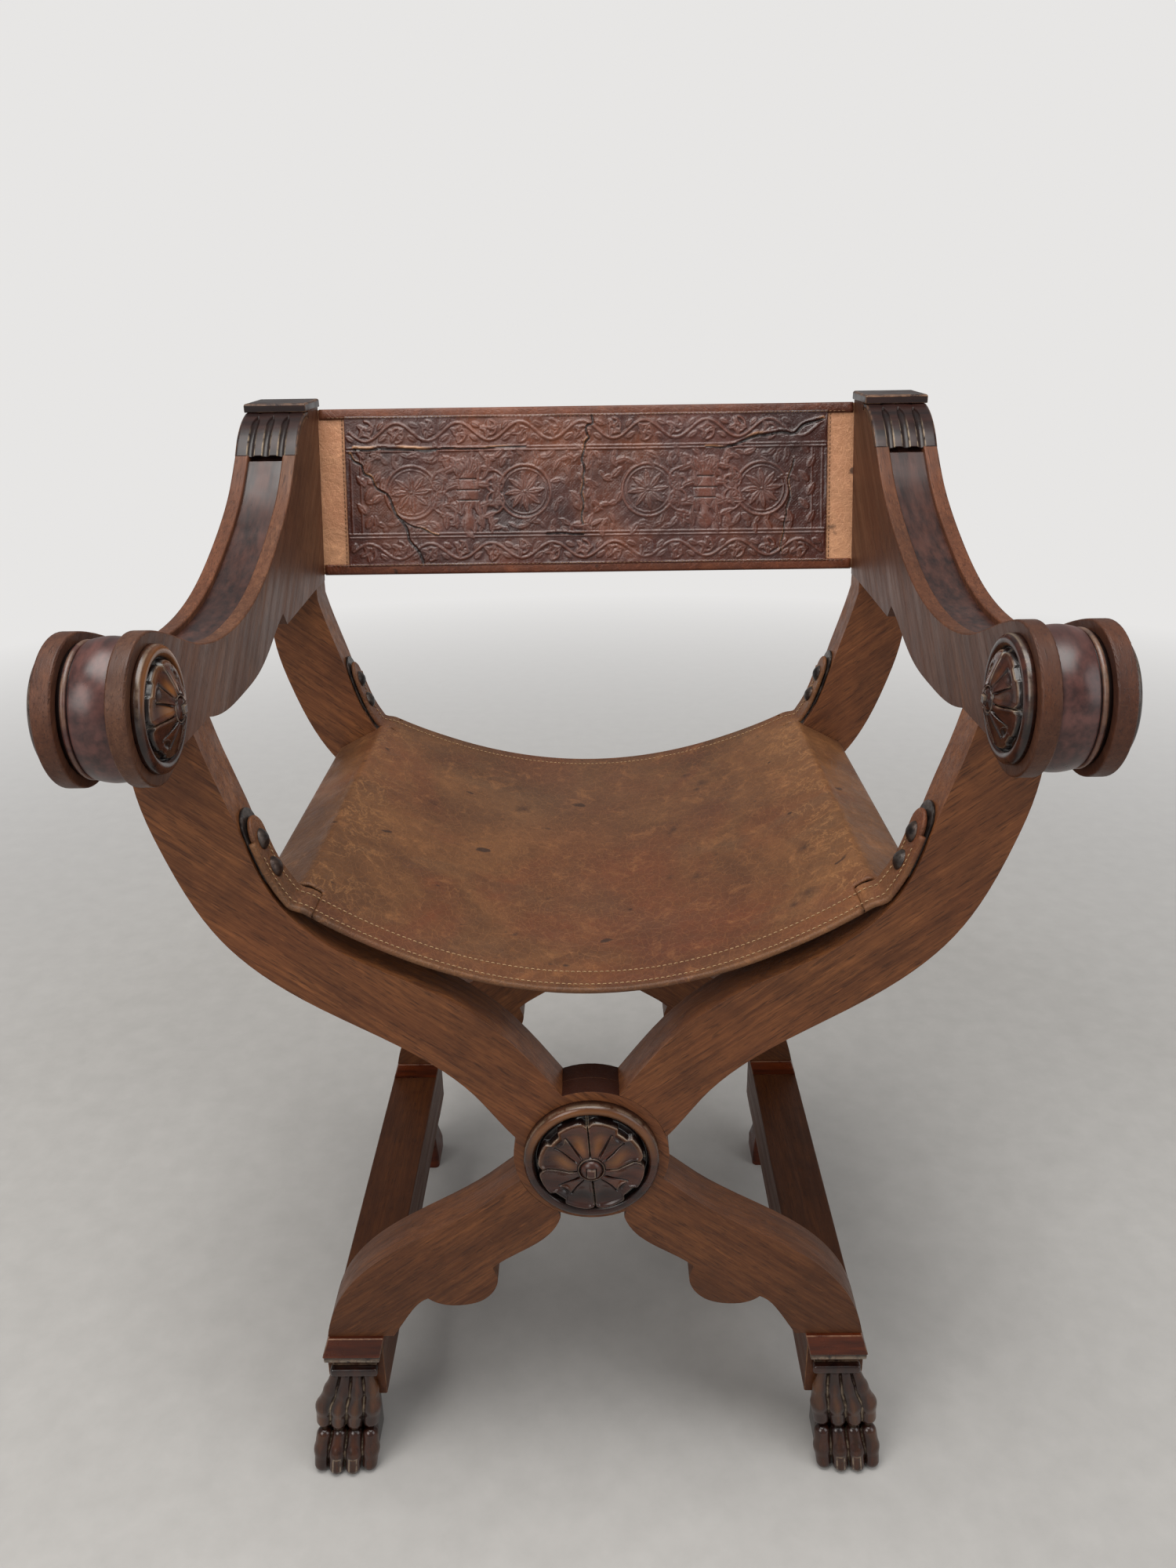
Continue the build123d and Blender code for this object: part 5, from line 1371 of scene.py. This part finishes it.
def panel_design(r, width, height, low, high):
    """Vines in the borders below low and above high; medallions, urns and leaves in the field between."""
    side = width / 2
    medallions, middle = (-176, -62, 62, 176), (low + high) / 2
    r.vine(2.0, low - 1.5, -236, 236, 62.0, 0.0)
    r.vine(high + 1.5, height - 2.0, -236, 236, 62.0, pi)
    for y in (1.2, low, low + 3.4, high - 3.4, high, height - 1.2):
        r.stamp([(-side, y), (side, y)], 1.0, 0.85)
    for x in (-236, -226, -3.5, 5.0, 226, 236):
        r.stamp([(x, low + 3.4), (x, high - 3.4)], 0.9, 0.8)
    for cx in medallions:
        r.medallion(cx, middle, 26.0)
    for cx in (-119, 119):
        r.urn(cx, middle)
        for way in (1, -1):
            r.foliage(cx, middle, way, 34)
    for cx in (-222, 222, 0):
        for k in range(6):
            y = low + 10 + k * (high - low - 20) / 5
            r.leaf(cx, y, pi / 2 + (0.6 if k % 2 else -0.6), 13, 7, 1.1)
    scatter = np.random.default_rng(77)
    for cx in np.arange(-214, 215, 11.0):
        for row in range(4):
            x = cx + scatter.uniform(-3, 3)
            y = low + 11 + row * (high - low - 22) / 3 + scatter.uniform(-3, 3)
            lean, length, wide = scatter.uniform(0, 2 * pi), scatter.uniform(9, 14), scatter.uniform(4.5, 7.5)
            if min(hypot(x - m, y - middle) for m in medallions) > 29:
                r.leaf(x, y, lean, length, wide, 1.15)
                r.leaf(x, y, lean + 2.4, length * 0.7, wide * 0.8, 0.9)


def panel_cracks(width, height, low, high):
    """Grooves of the panel's tears, and the pale lips beside them."""
    grid = Relief(width, height)
    for start, end, count, rough, seed, wide in (
        ((-236, high - 6), (-196, 62), 9, 1.6, 51, 1.2),
        ((-196, 62), (-166, 2), 9, 2.2, 52, 1.7),
        ((-232, high - 1), (-150, high - 2), 12, 0.7, 53, 1.7),
        ((142, high - 3), (236, high + 22), 10, 1.8, 54, 1.6),
        ((6, height - 2), (-3, high - 8), 8, 1.2, 55, 1.2),
        ((-3, high - 8), (-4, 40), 10, 0.9, 56, 1.3),
        ((-40, low + 2), (-4, low + 1), 6, 0.8, 57, 1.3),
        ((208, high - 16), (196, 10), 11, 1.6, 58, 0.9),
        ((-150, high - 2), (-60, high), 9, 0.6, 59, 0.8),
        ((120, high - 3), (142, high - 3), 4, 0.5, 60, 1.0),
        ((-186, 46), (-150, 30), 6, 1.5, 61, 0.8),
    ):
        line = tear(start, end, count, rough, seed)
        grid.stamp(line, wide, 1.0, sink=True)
        grid.stamp(line + np.array([0, wide * 1.1]), wide * 1.3, 1.0)
    return grid.down, grid.up


def tooled_panel():
    x0, x1, y0, y1 = PANEL
    width, height = x1 - x0, y1 - y0
    low, high = 28.5, height - 31.0
    r = Relief(width, height)
    panel_design(r, width, height, low, high)
    cracks, lips = panel_cracks(width, height, low, high)
    xx, yy = np.meshgrid(r.x, r.y)
    field = (yy > low + 4) & (yy < high - 4)
    dots = np.sin(xx * 2 * pi / 3.1) * np.sin(yy * 2 * pi / 3.1)
    ground = np.where(field & (r.up < 0.25), 0.28 * np.clip(dots, 0, 1), 0)
    p = np.stack([xx, yy], axis=-1) / 1000
    crumple = 0.9 * soft_noise(p, 60, 41) + 0.5 * soft_noise(p, 170, 42) + 0.2 * soft_noise(p, 420, 43)
    fade = 0.72 + 0.28 * soft_noise(p, 45, 44)
    z = 1.55 * r.up * fade - 1.1 * r.down + ground + crumple - 0.5 * field
    z = z - 1.5 * cracks + 0.7 * lips * (1 - step(cracks, 0, 0.4))
    edge = np.minimum(np.minimum(xx - x0, x1 - xx), np.minimum(yy, height - yy))
    z = z * step(edge, 0, 2.5)
    pts = [on_back(xx, yy + y0, out) for out in (0.35 + np.clip(z, -1.6, 2.6) * 0.95 + 1.1, -0.5)]
    # The flat ground, the tears and the grooves go into the deep mark: painted shade in the low places.
    dull = np.clip((0.5 - r.up) * 0.35 * (ground < 0.05), 0, 1) * field
    marks = clipped({
        "crest": np.clip(r.up * fade - 0.35, 0, 1),
        "deep": dull + 0.9 * step(cracks, 0.3, 0.9) + 0.7 * r.down,
        "torn": np.clip(lips - cracks, 0, 1) * step(0.5 + 0.5 * soft_noise(p, 130, 62), 0.35, 0.7) * 0.8,
    }, z.size)
    obj = make_object("tooled_panel", np.concatenate(pts), slab_faces(*z.shape), marks)
    return cover(obj, "embossed_hide", MAT["tooled"], "back_embossed_panel")


back = back_sheet()
top_binding = binding("back_top_binding", BACK_HIGH, -1)
low_binding = binding("back_low_binding", BACK_LOW, 1)
panel = tooled_panel()
lines = []
for x in (-243.6, 243.6):
    lines.append(on_back(x, np.linspace(BACK_LOW + 8, BACK_HIGH - 8, 60), -0.6))
for up in (BACK_LOW + 9.2, BACK_HIGH - 9.2):
    lines.append(on_back(np.linspace(-BACK_FREE, BACK_FREE, 200), up, 1.7))
runs = [(line, np.tile(FACE, (len(line), 1))) for line in lines]
back_thread = stitch_object("back_stitches", runs, 4.2, 3.0, MAT["back_thread"], "back_hide")
for piece in (back, top_binding, low_binding, panel, back_thread):
    blend_over(piece)

# ---------------------------------------------------------------- floor, light, camera
BACKDROP = (0.80, 0.79, 0.78)
FLOOR = 30  # half its side, metres

corners = [(-FLOOR, -FLOOR, 0), (FLOOR, -FLOOR, 0), (FLOOR, FLOOR, 0), (-FLOOR, FLOOR, 0)]
floor_mesh = bpy.data.meshes.new("floor")
floor_mesh.from_pydata(corners, [], [(0, 1, 2, 3)])
pale = Finish("pale_floor", (0.48, 0.47, 0.455))
pale.lay((0.44, 0.43, 0.416), pale.patch(pale.where(), (30.0, 5.0, 0.6), 0.3, 0.7))
floor_mesh.materials.append(pale.finish(0.8, Specular_IOR_Level=0.12))
# Away from the chair the floor turns into the backdrop, so no horizon shows
fade = pale.range(pale.away(pale.where()), 0.9, 3.2)
far = pale.add("Emission", Color=BACKDROP, Strength=1.0)
both = pale.add("MixShader", i0=fade, i1=pale.shader.outputs[0], i2=far.outputs[0])
pale.put(pale.out, "Surface", both.outputs[0])
link("floor", floor_mesh)

world = bpy.data.worlds.new("studio")
bpy.context.scene.world = world
sky = Nodes(world)
ray = sky.add("LightPath").outputs
seen = sky.calc("MAXIMUM", ray["Is Camera Ray"], ray["Is Transmission Ray"])
light = sky.add("Background", Color=(1.0, 0.985, 0.97), Strength=0.30)
shown = sky.add("Background", Color=BACKDROP, Strength=1.0)
mixed = sky.add("MixShader", i0=seen, i1=light.outputs[0], i2=shown.outputs[0])
sky.add("OutputWorld", Surface=mixed.outputs[0])


def lamp(name, at, aim, size, watts, colour):
    data = bpy.data.lights.new(name, "AREA")
    data.shape = "RECTANGLE"
    data.size, data.size_y = size
    data.energy = watts
    data.color = colour
    obj = link(name, data)
    obj.location = at
    obj.rotation_euler = (Vector(aim) - Vector(at)).to_track_quat("-Z", "Y").to_euler()


lamp("overhead", (-0.15, -0.35, 2.6), (0, 0, 0.4), (1.9, 1.4), 52, (1, 0.98, 0.95))
lamp("front_left", (-1.7, -2.1, 2.1), (0, 0, 0.5), (1.7, 1.6), 36, (1, 0.975, 0.945))
lamp("right_fill", (2.1, -1.3, 1.7), (0, 0, 0.5), (1.4, 1.8), 17, (0.97, 0.985, 1))

# The camera as solved from the photo's edges: its place, and its pan, tilt and roll in degrees
CAMERA_AT = (0.0097, -0.9405, 0.970)
PAN, TILT, ROLL = 0.60, 90 - 22.29, -0.88
camera_data = bpy.data.cameras.new("camera")
camera_data.sensor_fit = "VERTICAL"
camera_data.sensor_height = 36.0
camera_data.sensor_width = 27.0
camera_data.lens = 27.05
camera = link("camera", camera_data)
turn = Matrix.Identity(4)
for angle, axis in ((PAN, "Z"), (TILT, "X"), (ROLL, "Z")):
    turn = turn @ Matrix.Rotation(radians(angle), 4, axis)
camera.matrix_world = Matrix.Translation(CAMERA_AT) @ turn
bpy.context.scene.camera = camera
bpy.context.scene.view_settings.view_transform = "Standard"
